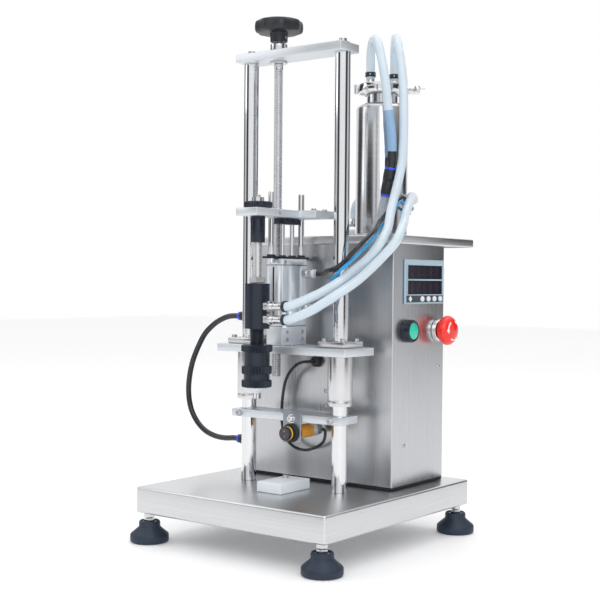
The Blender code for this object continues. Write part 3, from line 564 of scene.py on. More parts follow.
# routes are in millimetres; bands are (lowest height, finish) from the top down, and split says
# where a hose is cut into a back and a front piece
cords = {
    "tankHose": {
        "node": "tank_hose", "slot": "silicone_hose", "diameter": 12.0, "stiffness": "limp", "body": "base",
        "bands": [
            (567.0, "siliconeHose"), (516.0, "wetSilicone"), (458.0, "blackTube"), (0.0, "greySilicone"),
        ],
        "route": [
            (36, 120, 616.3), (36, 120, 625), (36, 120, 634), (39, 116, 652), (47.5, 107, 663),
            (56, 100, 665.5), (66, 92.5, 657.5), (73.5, 88, 641.5), (79, 87, 622), (82.5, 88.5, 596),
            (84.5, 91.5, 567), (86.5, 95.5, 541.5), (86.5, 98, 520), (85.5, 99.5, 505),
            (83.5, 100.5, 491.5), (79.5, 101.5, 474.5), (76.5, 101.5, 459), (72.5, 101, 445),
            (68.5, 100, 428), (63.5, 97.5, 416), (62, 97, 408.5), (62, 97, 400.8),
        ],
    },
    "upperNozzleHose": {
        "node": "upper_nozzle_hose", "slot": "silicone_hose", "diameter": 12.0, "stiffness": "limp",
        "bands": [(0.0, "siliconeHose")],
        "bends": [
            ("base", "carriage", (98, 106, 530), (117, 42, 408)),
            ("carriage", "head", (100, 5, 360), (50, -52, 315)),
        ],
        "split": (110, 11, 370),
        "route": [
            (54, 152, 616.3), (54, 152, 625), (54, 152, 637.5), (56, 149, 656), (62.5, 140, 667.5),
            (70, 129, 669.7), (79, 120, 662), (87, 112.5, 646.5), (92, 110.5, 627), (96, 109.5, 597.5),
            (98, 108, 557.5), (98.5, 107, 529.5), (98, 105, 501.5), (97, 100, 480), (97, 91, 458),
            (100, 79, 441), (107, 63, 425), (117, 42, 408), (122, 17, 387.5), (110, 11, 370),
            (95, 1, 354.5), (86, -18, 340), (70.6, -32, 327), (56.8, -45, 318), (45, -56.5, 311),
            (38.3, -62, 308), (30.3, -62, 308),
        ],
    },
    "lowerNozzleHose": {
        "node": "lower_nozzle_hose", "slot": "silicone_hose", "diameter": 12.0, "stiffness": "limp",
        "bands": [(0.0, "siliconeHose")],
        "bends": [
            ("base", "carriage", (99.5, 124, 451), (138, 29, 390)),
            ("carriage", "head", (117, 7, 357.5), (48, -59, 294.5)),
        ],
        "split": (127.5, 18, 373),
        "route": [
            (-46, 202, 432.3), (-46, 202, 441), (-43, 202, 452), (-28, 202, 466), (-5, 201, 471),
            (20, 198, 467), (42, 191.5, 460), (58, 184, 455), (69, 176.5, 453), (78.5, 166, 453),
            (85.5, 154, 455), (91.5, 139.5, 456), (99.5, 124, 451), (107.5, 107.5, 443), (117, 85, 429),
            (134, 51, 411), (138, 29, 390), (127.5, 18, 373), (117, 7, 357.5), (106, -8, 341.5),
            (93, -23, 327.7), (81, -37.5, 315.8), (66, -49, 304), (48, -59, 294.5), (38.3, -62, 291.5),
            (30.3, -62, 291.5),
        ],
    },
    "airTube": {
        "node": "air_tube", "slot": "black_tube", "diameter": 6.0, "stiffness": "limp",
        "bands": [(0.0, "blackTube")],
        "bends": [("base", "carriage", (88.5, 106.5, 446.5), (110, 30, 410))],
        "route": [
            (-26, 202, 432.3), (-26, 202, 437), (-24, 202, 445), (-15, 203, 453), (4, 203, 455),
            (25, 199, 450), (45, 191, 445), (61.5, 179.5, 441.5), (75, 166.5, 441), (82.5, 151.5, 443),
            (85, 135, 450), (87, 121.5, 453.5), (88.5, 106.5, 446.5), (90.5, 91.5, 438), (95, 70, 427),
            (103, 44, 416), (114, 18, 405.5), (115, -10, 389), (106, -21, 374.5), (92, -16.5, 364.5),
            (77, -15.5, 356.5), (58, -8, 353), (41, 12.5, 351), (29.3, 20, 350), (23.3, 20, 350),
        ],
    },
    "blueAirTube": {
        "node": "blue_tube", "slot": "blue_tube", "diameter": 4.0, "stiffness": "limp",
        "bands": [(0.0, "blueTube")],
        "bends": [("base", "carriage", (94.5, 103, 444.5), (107, 38, 407))],
        "route": [
            (-6, 202, 432.3), (-6, 202, 436), (-3.5, 202, 441), (5, 203, 444), (24, 204, 440),
            (46, 194, 434), (62, 176, 434), (75, 162, 434.5), (82.5, 144, 436), (87.5, 127, 442.5),
            (92.5, 115.5, 448), (94.5, 103, 444.5), (97, 87, 433.5), (101.5, 65, 418.5), (107, 38, 407),
            (115.5, 14, 396), (110.5, -7.5, 377.5), (102, -18, 364.5), (90, -20, 355.5), (77, -16.5, 345.5),
            (61, -10, 333), (45, 3, 321.5), (35, 14.5, 309.5), (27.3, 20, 305), (23.3, 20, 305),
        ],
    },
    "sensorLead": {
        "node": "sensor_lead", "slot": "black_tube", "diameter": 4.0, "stiffness": "limp",
        "bands": [(0.0, "blackTube")],
        "bends": [("sensor_stage", "base", (-44, 33, 150), (-40, 32, 205))],
        "route": [
            (23.2, 33, 145), (25.4, 33, 145), (28.5, 33, 141), (24, 33, 127), (0, 33, 115.5),
            (-22, 33, 117), (-38, 33, 129), (-44.5, 33, 150), (-43.8, 33, 182), (-36, 31.5, 209),
            (-18, 27, 227), (-5, 26.5, 232.5), (2.5, 28.5, 233.4), (4.8, 33.5, 233.4), (4.8, 36.9, 233.4),
        ],
    },
    "loopHose": {
        "node": "loop_hose", "slot": "black_tube", "diameter": 8.0, "stiffness": "medium", "body": "base",
        "bands": [(0.0, "blackTube")],
        "route": [
            (-141.6, 56, 290), (-149.6, 56, 290), (-160, 56, 289), (-172, 56, 285.5), (-188, 56, 277.5),
            (-206, 56, 263), (-219, 56, 244), (-230, 56, 222), (-236.5, 56, 198), (-238, 56, 174),
            (-233, 56, 152), (-221, 56, 134), (-204, 56, 121.5), (-184, 56, 115.5), (-165, 56, 114.5),
            (-149.6, 56, 116), (-141.6, 56, 116),
        ],
    },
}


def makeCord(name, facts):
    radius = facts["diameter"] / 2 * mm
    points = smoothLine(facts["route"], min(3.0, facts["diameter"] * 0.4))
    frames = framesAlong(points)
    stretches = [(name, 0, len(points) - 1)]
    if "split" in facts:
        place = at(*facts["split"])
        middle = min(range(len(points)), key=lambda i: (points[i] - place).length)
        stretches = [(name + "Back", 0, middle), (name + "Front", middle, len(points) - 1)]
    for number, (title, first, last) in enumerate(stretches):
        line = points[first : last + 1]
        obj = tube(line, frames[first : last + 1], radius, facts["bands"])
        obj.name = title
        if "bends" in facts:
            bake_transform(obj)
        else:
            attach(obj, facts["body"])
        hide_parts(facts["node"])


# a node's low and high corner in millimetres from the middle between the columns
def cornersOf(node):
    low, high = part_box(node)
    shift = Vector((0.0, columnY, 0.0))
    return (low - shift) / mm, (high - shift) / mm


trayLook = {"round": 3.0, "sheet": 2.0, "lip": 27.0}


def makeTray():
    low, high = cornersOf("base_tray")
    bottom = low.z
    sheet, lip = trayLook["sheet"], trayLook["lip"]
    tray = block(low, high, "brushedAcross", trayLook["round"], 5)
    hollow = Vector((sheet, sheet, sheet))
    inside = block(low + hollow, high - hollow, "brushedAcross", 1.5, 3)
    mouth = block(
        (low.x + lip, low.y + lip, bottom - 5), (high.x - lip, high.y - lip, bottom + 8), "brushedAcross", 0
    )
    carve(tray, inside, mouth)
    piece("trayShell", "base", [tray], ["base_tray"])


footLook = {
    "pad": [
        (0, 19), (8.5, 19), (9.5, 25.5), (12, 28), (13.2, 27.2), (13.9, 25), (13.6, 21.5),
        (14.4, 19.3), (24.2, 11.2), (25, 9.6), (25, 2.6), (24, 0.9), (22, 0.0), (0, 0),
    ],
    "washer": [(0, 26.4), (9.2, 26.4), (9.2, 24.8), (0, 24.8)],
    "stud": (3.4, 4.0, 28.0, 56.0, 1.25),  # root, crest, from, to, pitch
    "flats": 13.0,
}


def makeFeet():
    for side in ("left", "right"):
        for end in ("front", "back"):
            low, high = cornersOf(f"foot_{end}_{side}")
            base = ((low.x + high.x) / 2, (low.y + high.y) / 2, 0.0)
            half = footLook["flats"] / 2
            lower = [(0, 30.8), (half, 30.8, "hex"), (half, 26.4, "hex"), (0, 26.4)]
            upper = [
                (0, 37.7), (half - 0.5, 37.7), (half, 37.2, "hex"), (half, 32.6, "hex"),
                (half - 0.6, 32.0), (0, 32.0),
            ]
            shapes = [
                turned(footLook["pad"], "footRubber", base, edge=0, steps=64),
                turned(footLook["washer"], "turnedSteel", base),
                turned(lower, "turnedSteel", base),
                threaded(*footLook["stud"], "screwSteel", base),
                turned(upper, "turnedSteel", base, edge=0),
            ]
            piece(f"levellingFoot{end.title()}{side.title()}", f"foot_{end[0]}{side[0]}",
                  shapes, [f"foot_{end}_{side}"])


def makeColumns():
    for side in ("left", "right"):
        low, high = cornersOf(f"column_{side}")
        radius = (high.x - low.x) / 2
        rod = turned([(radius, high.z), (radius, low.z)], "chrome", ((low.x + high.x) / 2, 0, 0), steps=96)
        piece(f"chromeColumn{side.title()}", "base", [rod], [f"column_{side}"])


beamLook = {
    "washer": (9.0, 1.2),  # radius, thickness
    "bearing": [
        (11.5, 652.7), (11.5, 641.3), (8, 641.3), (8, 629.7), (11.5, 629.7), (11.5, 627.6),
        (5.3, 627.6), (5.3, 652.7),
    ],
}
heightScrew = {"x": -35.0, "y": 8.0, "root": 5.1, "crest": 6.0, "pitch": 3.0, "lobes": 8, "wave": 1.1}


def makeBeam():
    low, high = cornersOf("top_beam")
    shapes = [block(low, high, "satinPlate", 0.7)]
    radius, thick = beamLook["washer"]
    for end in (-columnX, columnX):
        shapes.append(turned([(radius, thick), (radius, 0)], "screwSteel", (end, 0, high.z)))
        shapes.append(capScrew((end, 0, high.z + thick), up, 5.0, 5.2))
    shapes.append(capScrew((10.0, 3.0, high.z), up, 3.2, 1.8))
    piece("topBeam", "base", shapes, ["top_beam"])
    place = (heightScrew["x"], heightScrew["y"], 0)
    shapes = [turned(beamLook["bearing"], "turnedSteel", place, closed=True, edge=0.3)]
    piece("screwBearing", "base", shapes, ["screw_bearing"])


def makeHeightScrew():
    x, y = heightScrew["x"], heightScrew["y"]
    root, crest, pitch = heightScrew["root"], heightScrew["crest"], heightScrew["pitch"]
    axis = (x, y, 0)
    shapes = [
        threaded(root, crest, 214.0, 620.5, pitch, "screwSteel", axis),
        turned([(4.6, 214.5), (4.6, 213.2), (4.0, 213)], "screwSteel", axis),
        turned([(5, 679.7), (5, 627.3), (crest, 627.3), (crest, 620.0)], "turnedSteel", axis),
    ]
    piece("liftScrew", "height_screw", shapes, ["lead_screw"])
    wave = (heightScrew["lobes"], heightScrew["wave"])
    rim = [
        (0, 681.0), (9.0, 681.0), (10.5, 683.8), (13.0, 684.8), (27.0, 684.6), (29.6, 683.2, wave),
        (30.9, 680.6, wave), (31.2, 676, wave), (30.8, 671.5, wave), (29.4, 669.0, wave), (26.5, 668.0),
        (12.5, 668), (11.9, 666.5), (11.5, 657.0), (10.8, 656.2), (0, 656.2),
    ]
    shapes = [
        turned(rim, "blackPlastic", axis, steps=128, edge=0),
        turned([(7.0, 681.8), (7.0, 680.5)], "screwSteel", axis),
        capScrew((x + 11.0, y, 661.5), toRight, 2.2, 1.4),
    ]
    piece("heightHandwheel", "height_screw", shapes, ["handwheel"])


bearingLook = {"flange": 42.0, "thick": 8.0, "radius": 16.0, "end": 182.0, "bolt": 14.5}
nutLook = {"bolts": 12.0, "face": 262.3}


def makeCarriage():
    low, high = cornersOf("carriage_plate")
    top = high.z
    shapes = [block(low, high, "satinPlate", 0.8)]
    shapes.append(capScrew((16, -24, top), up, 2.6, 1.6))
    piece("carriagePlate", "carriage", shapes, ["carriage_plate"])
    half, bolt = bearingLook["flange"] / 2, bearingLook["bolt"]
    radius, end = bearingLook["radius"], bearingLook["end"]
    flange = top + 0.3
    crown = flange + bearingLook["thick"]
    for side, middle in (("left", -columnX), ("right", columnX)):
        shapes = [block((middle - half, -half, flange), (middle + half, half, crown), "turnedSteel", 1.6, 4)]
        sleeve = [
            (10.4, crown + 0.4), (15, crown + 0.4), (radius, crown - 4), (radius, end + 8),
            (radius - 0.5, end + 7.6), (radius - 0.5, end + 6.6), (radius, end + 6.2), (radius, end),
            (13.6, end), (13.0, end + 1.2), (10.4, end + 1.2),
        ]
        seal = [(13.2, end + 1.0), (10.2, end + 1.0)]
        shapes += [
            turned(sleeve, "turnedSteel", (middle, 0, 0), closed=True, steps=64, edge=0.4),
            turned(seal, "gasketRubber", (middle, 0, 0), steps=48, edge=0),
        ]
        for dx in (-bolt, bolt):
            for dy in (-bolt, bolt):
                shapes.append(capScrew((middle + dx, dy, crown), up, 3.6, 3.4))
        piece(f"linearBearing{side.title()}", "carriage", shapes, [f"bearing_{side}"])
    x, y, face = heightScrew["x"], heightScrew["y"], nutLook["face"]
    nut = [
        (6.3, 272), (9, 272), (9, face), (15, face), (15, 256.3), (9, 256.3), (9, 244), (6.3, 244),
    ]
    body = turned(nut, "brassNut", (x, y, 0), closed=True)
    carve(body, block((-25.8, -20, 254), (0, 40, 280), "brassNut", 0))  # a flat beside the cylinder
    shapes = [body]
    for angle in (120, 180, 240):
        turn, reach = math.radians(angle), nutLook["bolts"]
        place = (x + reach * math.cos(turn), y + reach * math.sin(turn), face)
        shapes.append(capScrew(place, up, 1.9, 1.8))
    piece("screwNut", "carriage", shapes, ["screw_nut"])


# the twin-rod air cylinder stands on its mount, and its ports face right
cylinderLook = {
    "x": (-25.0, 1.0), "y": 26.0, "top": 368.7, "bottom": 256.3, "mount": 281.0,
    "ports": (350.0, 305.0), "portY": 20.0, "rodX": -12.0, "rodY": 10.0, "guideX": -13.5, "guideY": 31.7,
}


def makeCylinder():
    left, right = cylinderLook["x"]
    y, top, mount = cylinderLook["y"], cylinderLook["top"], cylinderLook["mount"]
    rodX, rodY = cylinderLook["rodX"], cylinderLook["rodY"]
    guideX, guideY = cylinderLook["guideX"], cylinderLook["guideY"]
    body = block((left, -y, mount + 0.3), (right, y, top), "satinBlock", 1.2, 3)
    low, high = mount + 5, top - 10
    grooves = [block((-16, -y - 2, low), (-12.5, -y + 1.8, high), "satinBlock", 0)]
    for middle in (-12.0, 12.0):
        corner, far = (right - 1.8, middle - 1.6, low), (right + 2, middle + 1.6, high)
        grooves.append(block(corner, far, "satinBlock", 0))
    carve(body, *grooves)
    shapes = [
        body,
        block((left, -y, cylinderLook["bottom"]), (right, y, mount), "satinBlock", 1.0, 3),
        block((left + 0.5, -y + 0.5, mount - 1), (right - 0.5, y - 0.5, mount + 1), "blackAnodised", 0),
        # a black strip in the bottom of the front groove: painted shade that darkens the groove
        block((-15.8, -y + 1.0, low + 0.2), (-12.7, -y + 1.7, high - 0.2), "blackAnodised", 0),
        block((left - 0.2, -y - 0.2, top - 8.4), (right + 0.2, y + 0.2, top - 7.6), "blackAnodised", 0),
    ]
    for level in (mount + 10, top - 4.0):
        for place, facing in (((-5.0, -y), toFront), ((-20.0, -y), toFront), ((right, 5 - y), toRight)):
            shapes.append(capScrew((*place, level), facing, 2.2, 1.4))
    for level in (264.0, 274.0):
        for side in (-16, 16):
            shapes.append(capScrew((right, side, level), toRight, 2.4, 1.6))
    barrel = [(5.2, 15.0), (5.4, 12), (4.7, 11.5), (4.7, 7.5), (5.2, 7.0), (5.2, 6.0)]
    for level, ring in zip(cylinderLook["ports"], ("whitePlastic", "blueCollar")):
        base = (right, cylinderLook["portY"], level)
        shapes += [
            turned([(5.6, 6.0, "hex"), (5.6, 0.6, "hex")], "turnedSteel", base, toRight, edge=0),
            turned(barrel, "turnedSteel", base, toRight),
            turned([(5.5, 18.5), (5.5, 15.0)], ring, base, toRight),
            turned([(4.2, 22.0), (4.7, 20.5), (4.7, 18.5)], "turnedSteel", base, toRight),
        ]
    piece("airCylinder", "carriage", shapes, ["cylinder_body"])
    cap = top + 3.3
    shapes = [block((-21.5, -40, top + 0.3), (-5.5, 40, cap), "blackAnodised", 0.5)]
    for side in (-1, 1):
        shapes += [
            turned([(5.6, 2.2), (5.6, 0)], "blackPlastic", (guideX, side * guideY, cap)),
            turned([(4.6, 1.6), (4.6, 0)], "gasketRubber", (rodX, side * rodY, cap)),
            capScrew((guideX, side * 21.5, cap), up, 2.2, 1.8),
        ]
    piece("cylinderCap", "carriage", shapes, ["cylinder_cap"])
    for name, side in (("front", -1), ("back", 1)):
        rod = turned([(3, 413.7), (3, 346), (7, 346), (7, 338)], "chrome", (rodX, side * rodY, 0))
        piece(f"pistonRod{name.title()}", "head", [rod], [f"piston_rod_{name}"])
        guide = [(3.4, 455.5), (4, 454.8), (4, 363.7), (3.4, 363)]
        rod = turned(guide, "chrome", (guideX, side * guideY, 0))
        piece(f"guideRod{name.title()}", "head", [rod], [f"guide_rod_{name}"])


headLook = {
    "outline": [(-28.2, -85), (6.5, -85), (6.5, 3), (32, 3), (32, 44), (-28.2, 44)],
    "z": (422.0, 432.0),
    "bolts": ((22, 12), (22, 36)),
}
nozzleAxis = {"x": -11.0, "y": -62.0}


def makeHead():
    low, high = headLook["z"]
    shapes = [slab(headLook["outline"], low, high, "satinPlate")]
    for place in headLook["bolts"]:
        shapes.append(capScrew((*place, high), up, 3.4, 2.6))
    shapes.append(capScrew((6.5, -40, (low + high) / 2), toRight, 2.2, 0.8))
    for side in (-1, 1):
        place = (cylinderLook["guideX"], side * cylinderLook["guideY"], high)
        shapes.append(turned([(6.2, 2.4), (6.2, 0)], "turnedSteel", place))
    piece("headPlate", "head", shapes, ["head_plate"])
    shapes = [block((-20.5, -18, 414), (-5.5, 18, 421.7), "blackAnodised", 0.8)]
    piece("rodYoke", "head", shapes, ["rod_yoke"])


knurl = (38, 0.75)  # how many ridges, and how deep
nozzleLook = {
    "sleeve": [(6, 421.7), (9.35, 421.7), (9.35, 388.7), (6, 388.7)],
    "grip": [
        (0, 259.0), (17.6, 259.0), (19.2, 257.8, knurl), (19.2, 250.6, knurl), (17.6, 249.7), (16.5, 249.5),
        (16.5, 232.3), (18.2, 232.0), (18.5, 231.2, knurl), (18.5, 222.6, knurl), (18.2, 221.8),
        (16.5, 221.6), (16.5, 214.4), (18.2, 214.2), (18.5, 213.4, knurl), (18.5, 205.8, knurl),
        (17.6, 204.9), (0, 204.9),
    ],
    "barbs": (308.0, 291.5),
    "barb": [(4.4, 25), (5.2, 21), (4.6, 20.8), (5.4, 16.6), (4.8, 16.4), (5.4, 12)],
    "tube": [(1.5, 212), (1.5, 190.6), (1.3, 190.2), (0.95, 190.2), (0.95, 196)],
    "seal": [(12, 205), (12, 203.6), (4.4, 197.2), (3.3, 197.2), (3.3, 205)],
}


def makeNozzle():
    x, y = nozzleAxis["x"], nozzleAxis["y"]
    axis = (x, y, 0)
    wave = (12, 0.9)
    lock = [
        (0, 440.6), (14.5, 440.6), (16.8, 440.2, wave), (17.5, 439.2, wave), (17.5, 433.6, wave),
        (16.8, 432.5, wave), (0, 432.4),
    ]
    shapes = [
        turned(lock, "blackAnodised", axis, steps=120, edge=0),
        turned([(8, 446), (8, 440.6)], "turnedSteel", axis, edge=0.6),
        turned([(3.2, 449), (3.2, 446)], "turnedSteel", axis),
    ]
    piece("nozzleLockNut", "head", shapes, ["nozzle_lock_nut"])
    jamNut = [(0, 345), (8.2, 345), (9.5, 344.2, "hex"), (9.5, 337.8, "hex"), (8.4, 337.0), (0, 337.0)]
    shapes = [
        turned(nozzleLook["sleeve"], "blackAnodised", axis, steps=64, edge=0.6),
        threaded(5.3, 6.0, 344.5, 389, 1.75, "turnedSteel", axis, steps=28, perTurn=8),
        turned(jamNut, "turnedSteel", axis, edge=0),
    ]
    piece("nozzleStem", "head", shapes, ["nozzle_stem"])
    shapes = [turned([(16, 336.6), (16, 279.4)], "blackAnodised", axis, steps=80, edge=1.0)]
    root = [(7.2, 6.5), (7.4, 6, "hex"), (7.4, -0.5, "hex"), (6.4, -1)]
    for level in nozzleLook["barbs"]:
        base = (x + 16, y, level)
        shapes += [
            turned(root, "turnedSteel", base, toRight, edge=0),
            turned([(6.3, 12), (6.3, 6)], "turnedSteel", base, toRight),
            turned(nozzleLook["barb"], "turnedSteel", base, toRight),
        ]
    piece("nozzleBody", "head", shapes, ["nozzle_body"])
    shapes = [
        turned(nozzleLook["grip"], "blackAnodised", axis, steps=216, edge=0),
        threaded(8.3, 9.2, 257, 279.1, 2.0, "blackAnodised", axis, steps=36, perTurn=8),
    ]
    for dx, dy in ((-1.24, -0.93), (1.24, 0.93)):
        shapes.append(turned(nozzleLook["tube"], "turnedSteel", (x + dx, y + dy, 0), steps=32, edge=0))
    piece("nozzleBarrel", "head", shapes, ["nozzle_barrel"])
    seal = turned(nozzleLook["seal"], "whitePlastic", axis, closed=True)
    piece("coneSeal", "cone", [seal], ["cone_seal"])


sensorLook = {
    "x": 15.4, "z": 145.0, "screwX": 15.0, "screwZ": 163.0, "clampZ": 164.0, "eyes": 3.2, "knurl": (36, 0.25),
    "bracketX": (0.7, 30.0), "bracketZ": (132.0, 173.8), "bracketThick": 2.0,
}


def makeSensor():
    low, high = cornersOf("sensor_bar")
    shapes = [block(low, high, "satinPlate", 0.8)]
    for side in (-columnX, columnX):
        shapes.append(capScrew((side, low.y, sensorLook["clampZ"]), toFront, 4.2, 4.0))
    piece("sensorBar", "sensor_stage", shapes, ["sensor_bar"])
    face = low.y - 0.3
    screwX, screwZ = sensorLook["screwX"], sensorLook["screwZ"]
    (left, right), (bottom, top) = sensorLook["bracketX"], sensorLook["bracketZ"]
    front = face - sensorLook["bracketThick"]
    shapes = [
        block((left, front, bottom), (right, face, top), "bracketSteel", 0.9, 3),
        turned([(6.0, 0.8), (6.0, 0)], "turnedSteel", (screwX, front, screwZ), toFront),
        capScrew((screwX, front - 0.8, screwZ), toFront, 4.2, 4.2, "turnedSteel"),
    ]
    piece("sensorBracket", "sensor_stage", shapes, ["sensor_bracket"])
    x, z, wave = sensorLook["x"], sensorLook["z"], sensorLook["knurl"]
    base = (x, 0, z)
    rim = [(8.8, -33.0), (8.8, -37.2), (8.2, -38.0), (7.6, -37.6)]
    yellow = [(0, -33.2), (9.0, -33.2), (9.0, -30.6), (0, -30.6)]
    shapes = [
        turned([(9.0, 14.0), (9.0, face + 5)], "sensorOrange", base, toBack, steps=64, edge=0.6),
        turned([(7.5, 36), (8.6, 30), (9.0, 24), (9.0, 14)], "clearCap", base, toBack, steps=64, edge=0.8),
        turned([(3.6, 37.0), (3.6, 30)], "blackPlastic", base, toBack),
        threaded(8.4, 9.0, face - 8, face + 7, 1.0, "blackPlastic", base, toBack, steps=32, perTurn=6),
        turned(yellow, "sensorYellow", base, toBack, steps=64),
        turned(rim, "blackPlastic", base, toBack, steps=64),
        turned([(7.6, -37.0), (7.6, -37.8)], "sensorLens", base, toBack, steps=48),
    ]
    for shift in (sensorLook["eyes"], -sensorLook["eyes"]):
        eye = (x, -37.6, z + shift)
        shapes.append(turned([(0, 0.7), (0.9, 0.6), (1.4, 0.0), (0, 0)], "clearCap", eye, toFront, steps=24))
    for inner in (face + 0.3, face - 7.3):
        ring = [
            (9.2, inner + 5), (11.4, inner + 5), (12.0, inner + 4.4, wave), (12.0, inner + 0.6, wave),
            (11.4, inner), (9.2, inner),
        ]
        shapes.append(turned(ring, "blackPlastic", base, toBack, steps=144, edge=0))
    piece("bottleSensor", "sensor_stage", shapes, ["bottle_sensor"])


cabinetLook = {
    "x": 124.0, "front": 47.0, "back": 173.0, "bottom": 75.5, "top": 398.7, "wall": 1.5, "round": 2.2,
    "frontScrews": ((18.0, 194.3), (18.0, 174.0)),  # X and Z
    "sideScrews": ((159.8, 227.0), (74.2, 128.0)),  # Y and Z
    "gasket": (72.3, 76.5),
}
coverLook = {"x": 127.0, "y": (45.0, 248.0), "z": (389.0, 400.5), "wall": 1.5, "screws": (24.5, 93.0)}


def makeCabinet():
    x, front, back = cabinetLook["x"], cabinetLook["front"], cabinetLook["back"]
    bottom, top, wall = cabinetLook["bottom"], cabinetLook["top"], cabinetLook["wall"]
    shell = block((-x, front, bottom), (x, back, top), "brushedUpright", cabinetLook["round"], 5)
    inside = (-x + wall, front + wall, bottom - 10), (x - wall, back - wall, top - wall)
    carve(shell, block(*inside, "brushedUpright", 1.2, 2))
    low, high = cabinetLook["gasket"]
    gasket = block((-x + 0.8, front + 0.8, low), (x - 0.8, back - 0.8, high), "gasketRubber", 0.5, 2)
    carve(gasket, block((-x + 6, front + 6, 60), (x - 6, back - 6, 90), "gasketRubber", 0))
    shapes = [shell, gasket]
    places = [((side, front, z), toFront) for side, z in cabinetLook["frontScrews"]]
    places += [((x, y, z), toRight) for y, z in cabinetLook["sideScrews"]]
    places += [((side, back, z), toBack) for side in (-90, 90) for z in (110.0, 340.0)]
    for place, facing in places:
        shapes.append(domeScrew(place, facing, 3.0, 1.7))
    piece("cabinetShell", "base", shapes, ["cabinet_shell"])
    x, wall = coverLook["x"], coverLook["wall"]
    (front, back), (bottom, top) = coverLook["y"], coverLook["z"]
    cover = block((-x, front, bottom), (x, back, top), "brushedAcross", 1.8, 4)
    inside = (-x + wall, front + wall, bottom - 9), (x - wall, back - wall, top - wall)
    carve(cover, block(*inside, "brushedAcross", 1.0, 2))
    shapes = [cover]
    side, y = coverLook["screws"]
    for screwX in (-side, side):
        shapes.append(domeScrew((screwX, y, top), up, 4.0, 2.6))
    piece("cabinetCover", "base", shapes, ["cabinet_cover"])


panelLook = {
    "face": 127.3,
    "y": (70.0, 167.0),
    "z": (311.5, 369.5),
    "windows": ((344.0, 362.0), (324.0, 342.0)),
    "keys": (81.6, 111.4, 126.8, 141.9, 156.9),
    "keyZ": 318.0,
    "keysTop": 322.6,
    "key": [(0, 4.3), (3.0, 4.2), (3.5, 3.8), (3.6, 3.0), (3.6, 0), (0, 0)],
    "keyStretch": 1.25,
    "digits": 5,
}


# one unlit seven-segment figure, lying against the window
def unlitDigit(x, y, low, high):
    half = (high - low) * 0.26
    thin = (high - low) * 0.10
    middle = (low + high) / 2
    bars = []
    for z in (low, middle, high):
        bars.append(((y - half + thin, z - thin / 2), (y + half - thin, z + thin / 2)))
    for side in (y - half, y + half):
        bars.append(((side - thin / 2, low + thin), (side + thin / 2, middle - thin)))
        bars.append(((side - thin / 2, middle + thin), (side + thin / 2, high - thin)))
    return [block((x - 0.2, a[0], a[1]), (x + 0.08, b[0], b[1]), "unlitSegment", 0) for a, b in bars]


def makePanel():
    face = panelLook["face"]
    (left, right), (bottom, top) = panelLook["y"], panelLook["z"]
    keysTop = panelLook["keysTop"]
    frameShape = block((face - 3, left, bottom), (face, right, top), "frameGrey", 1.0, 3)
    cuts = []
    for low, high in panelLook["windows"]:
        cuts.append(block((face - 1.2, left + 6, low), (face + 2, right - 4, high), "frameGrey", 0))
    cuts.append(block((face - 0.5, left + 2.5, bottom + 2), (face + 2, right - 2.5, keysTop), "frameGrey", 0))
    carve(frameShape, *cuts)
    shapes = [frameShape]
    for low, high in panelLook["windows"]:
        shapes.append(block((face - 1.3, left + 6, low), (face - 0.9, right - 4, high), "windowGlass", 0))
        step = (right - left - 22) / panelLook["digits"]
        for number in range(panelLook["digits"]):
            middle = left + 11 + step * (number + 0.5)
            shapes += unlitDigit(face - 0.85, middle, low + 3.2, high - 3.2)
    low, high = (face - 0.6, left + 2.7, bottom + 2.2), (face - 0.3, right - 2.7, keysTop - 0.2)
    shapes.append(block(low, high, "keyRubber", 0))
    piece("displayPanel", "base", shapes, ["display_panel"])
    for number, y in enumerate(panelLook["keys"], start=1):
        base = (face - 3, y, panelLook["keyZ"])
        steps, stretch = (4, 1.0) if number == 1 else (40, panelLook["keyStretch"])  # the first is a diamond
        shape = turned(panelLook["key"], "frameWhite", base, toRight, steps=steps, edge=0)
        middle = at(*base)
        wider = Matrix.Diagonal((1.0, stretch, 1.0, 1.0))
        shape.data.transform(Matrix.Translation(middle) @ wider @ Matrix.Translation(-middle))
        piece(f"panelKey{number}", f"panel_key_{number}", [shape], [f"key_{number}"])


buttonLook = {
    "face": 124.3, "start": (78.0, 276.5), "stop": (155.0, 275.7), "shank": [(10.5, -18), (10.5, 0)],
    "seal": [(14.8, 3.0), (15, 0), (8.4, 0), (8.4, 3.0)],
    "startCollar": [(10.9, 11.7), (12.6, 12.0), (14.4, 10.8), (15, 8), (15, 0), (10.9, 0)],
    "startCap": [
        (0, 13.3), (4, 13.2), (7.5, 12.8), (9.8, 12.2), (10.6, 11.4), (10.7, 4), (8, 4), (8, -16), (0, -16),
    ],
    "stopCollar": [(8.4, 8.6), (11.5, 8.6), (12.4, 7.4), (15, 5.4), (15, 0), (8.4, 0)],
    "stopCap": [
        (0, 26.7), (5, 26.6), (10, 25.9), (14.5, 24.3), (17.6, 21.9), (19.4, 19.2), (20, 16.6), (19.6, 14.6),
        (18.0, 12.2), (17.2, 10.0), (15.8, 9.8), (15.6, 12.8), (9, 12.9), (8, 12.4), (8, -16), (0, -16),
    ],
}
arrowLook = {"reach": 12.6, "span": 78.0, "half": 1.0, "head": 2.7, "headFrom": 0.72, "thick": 0.25}


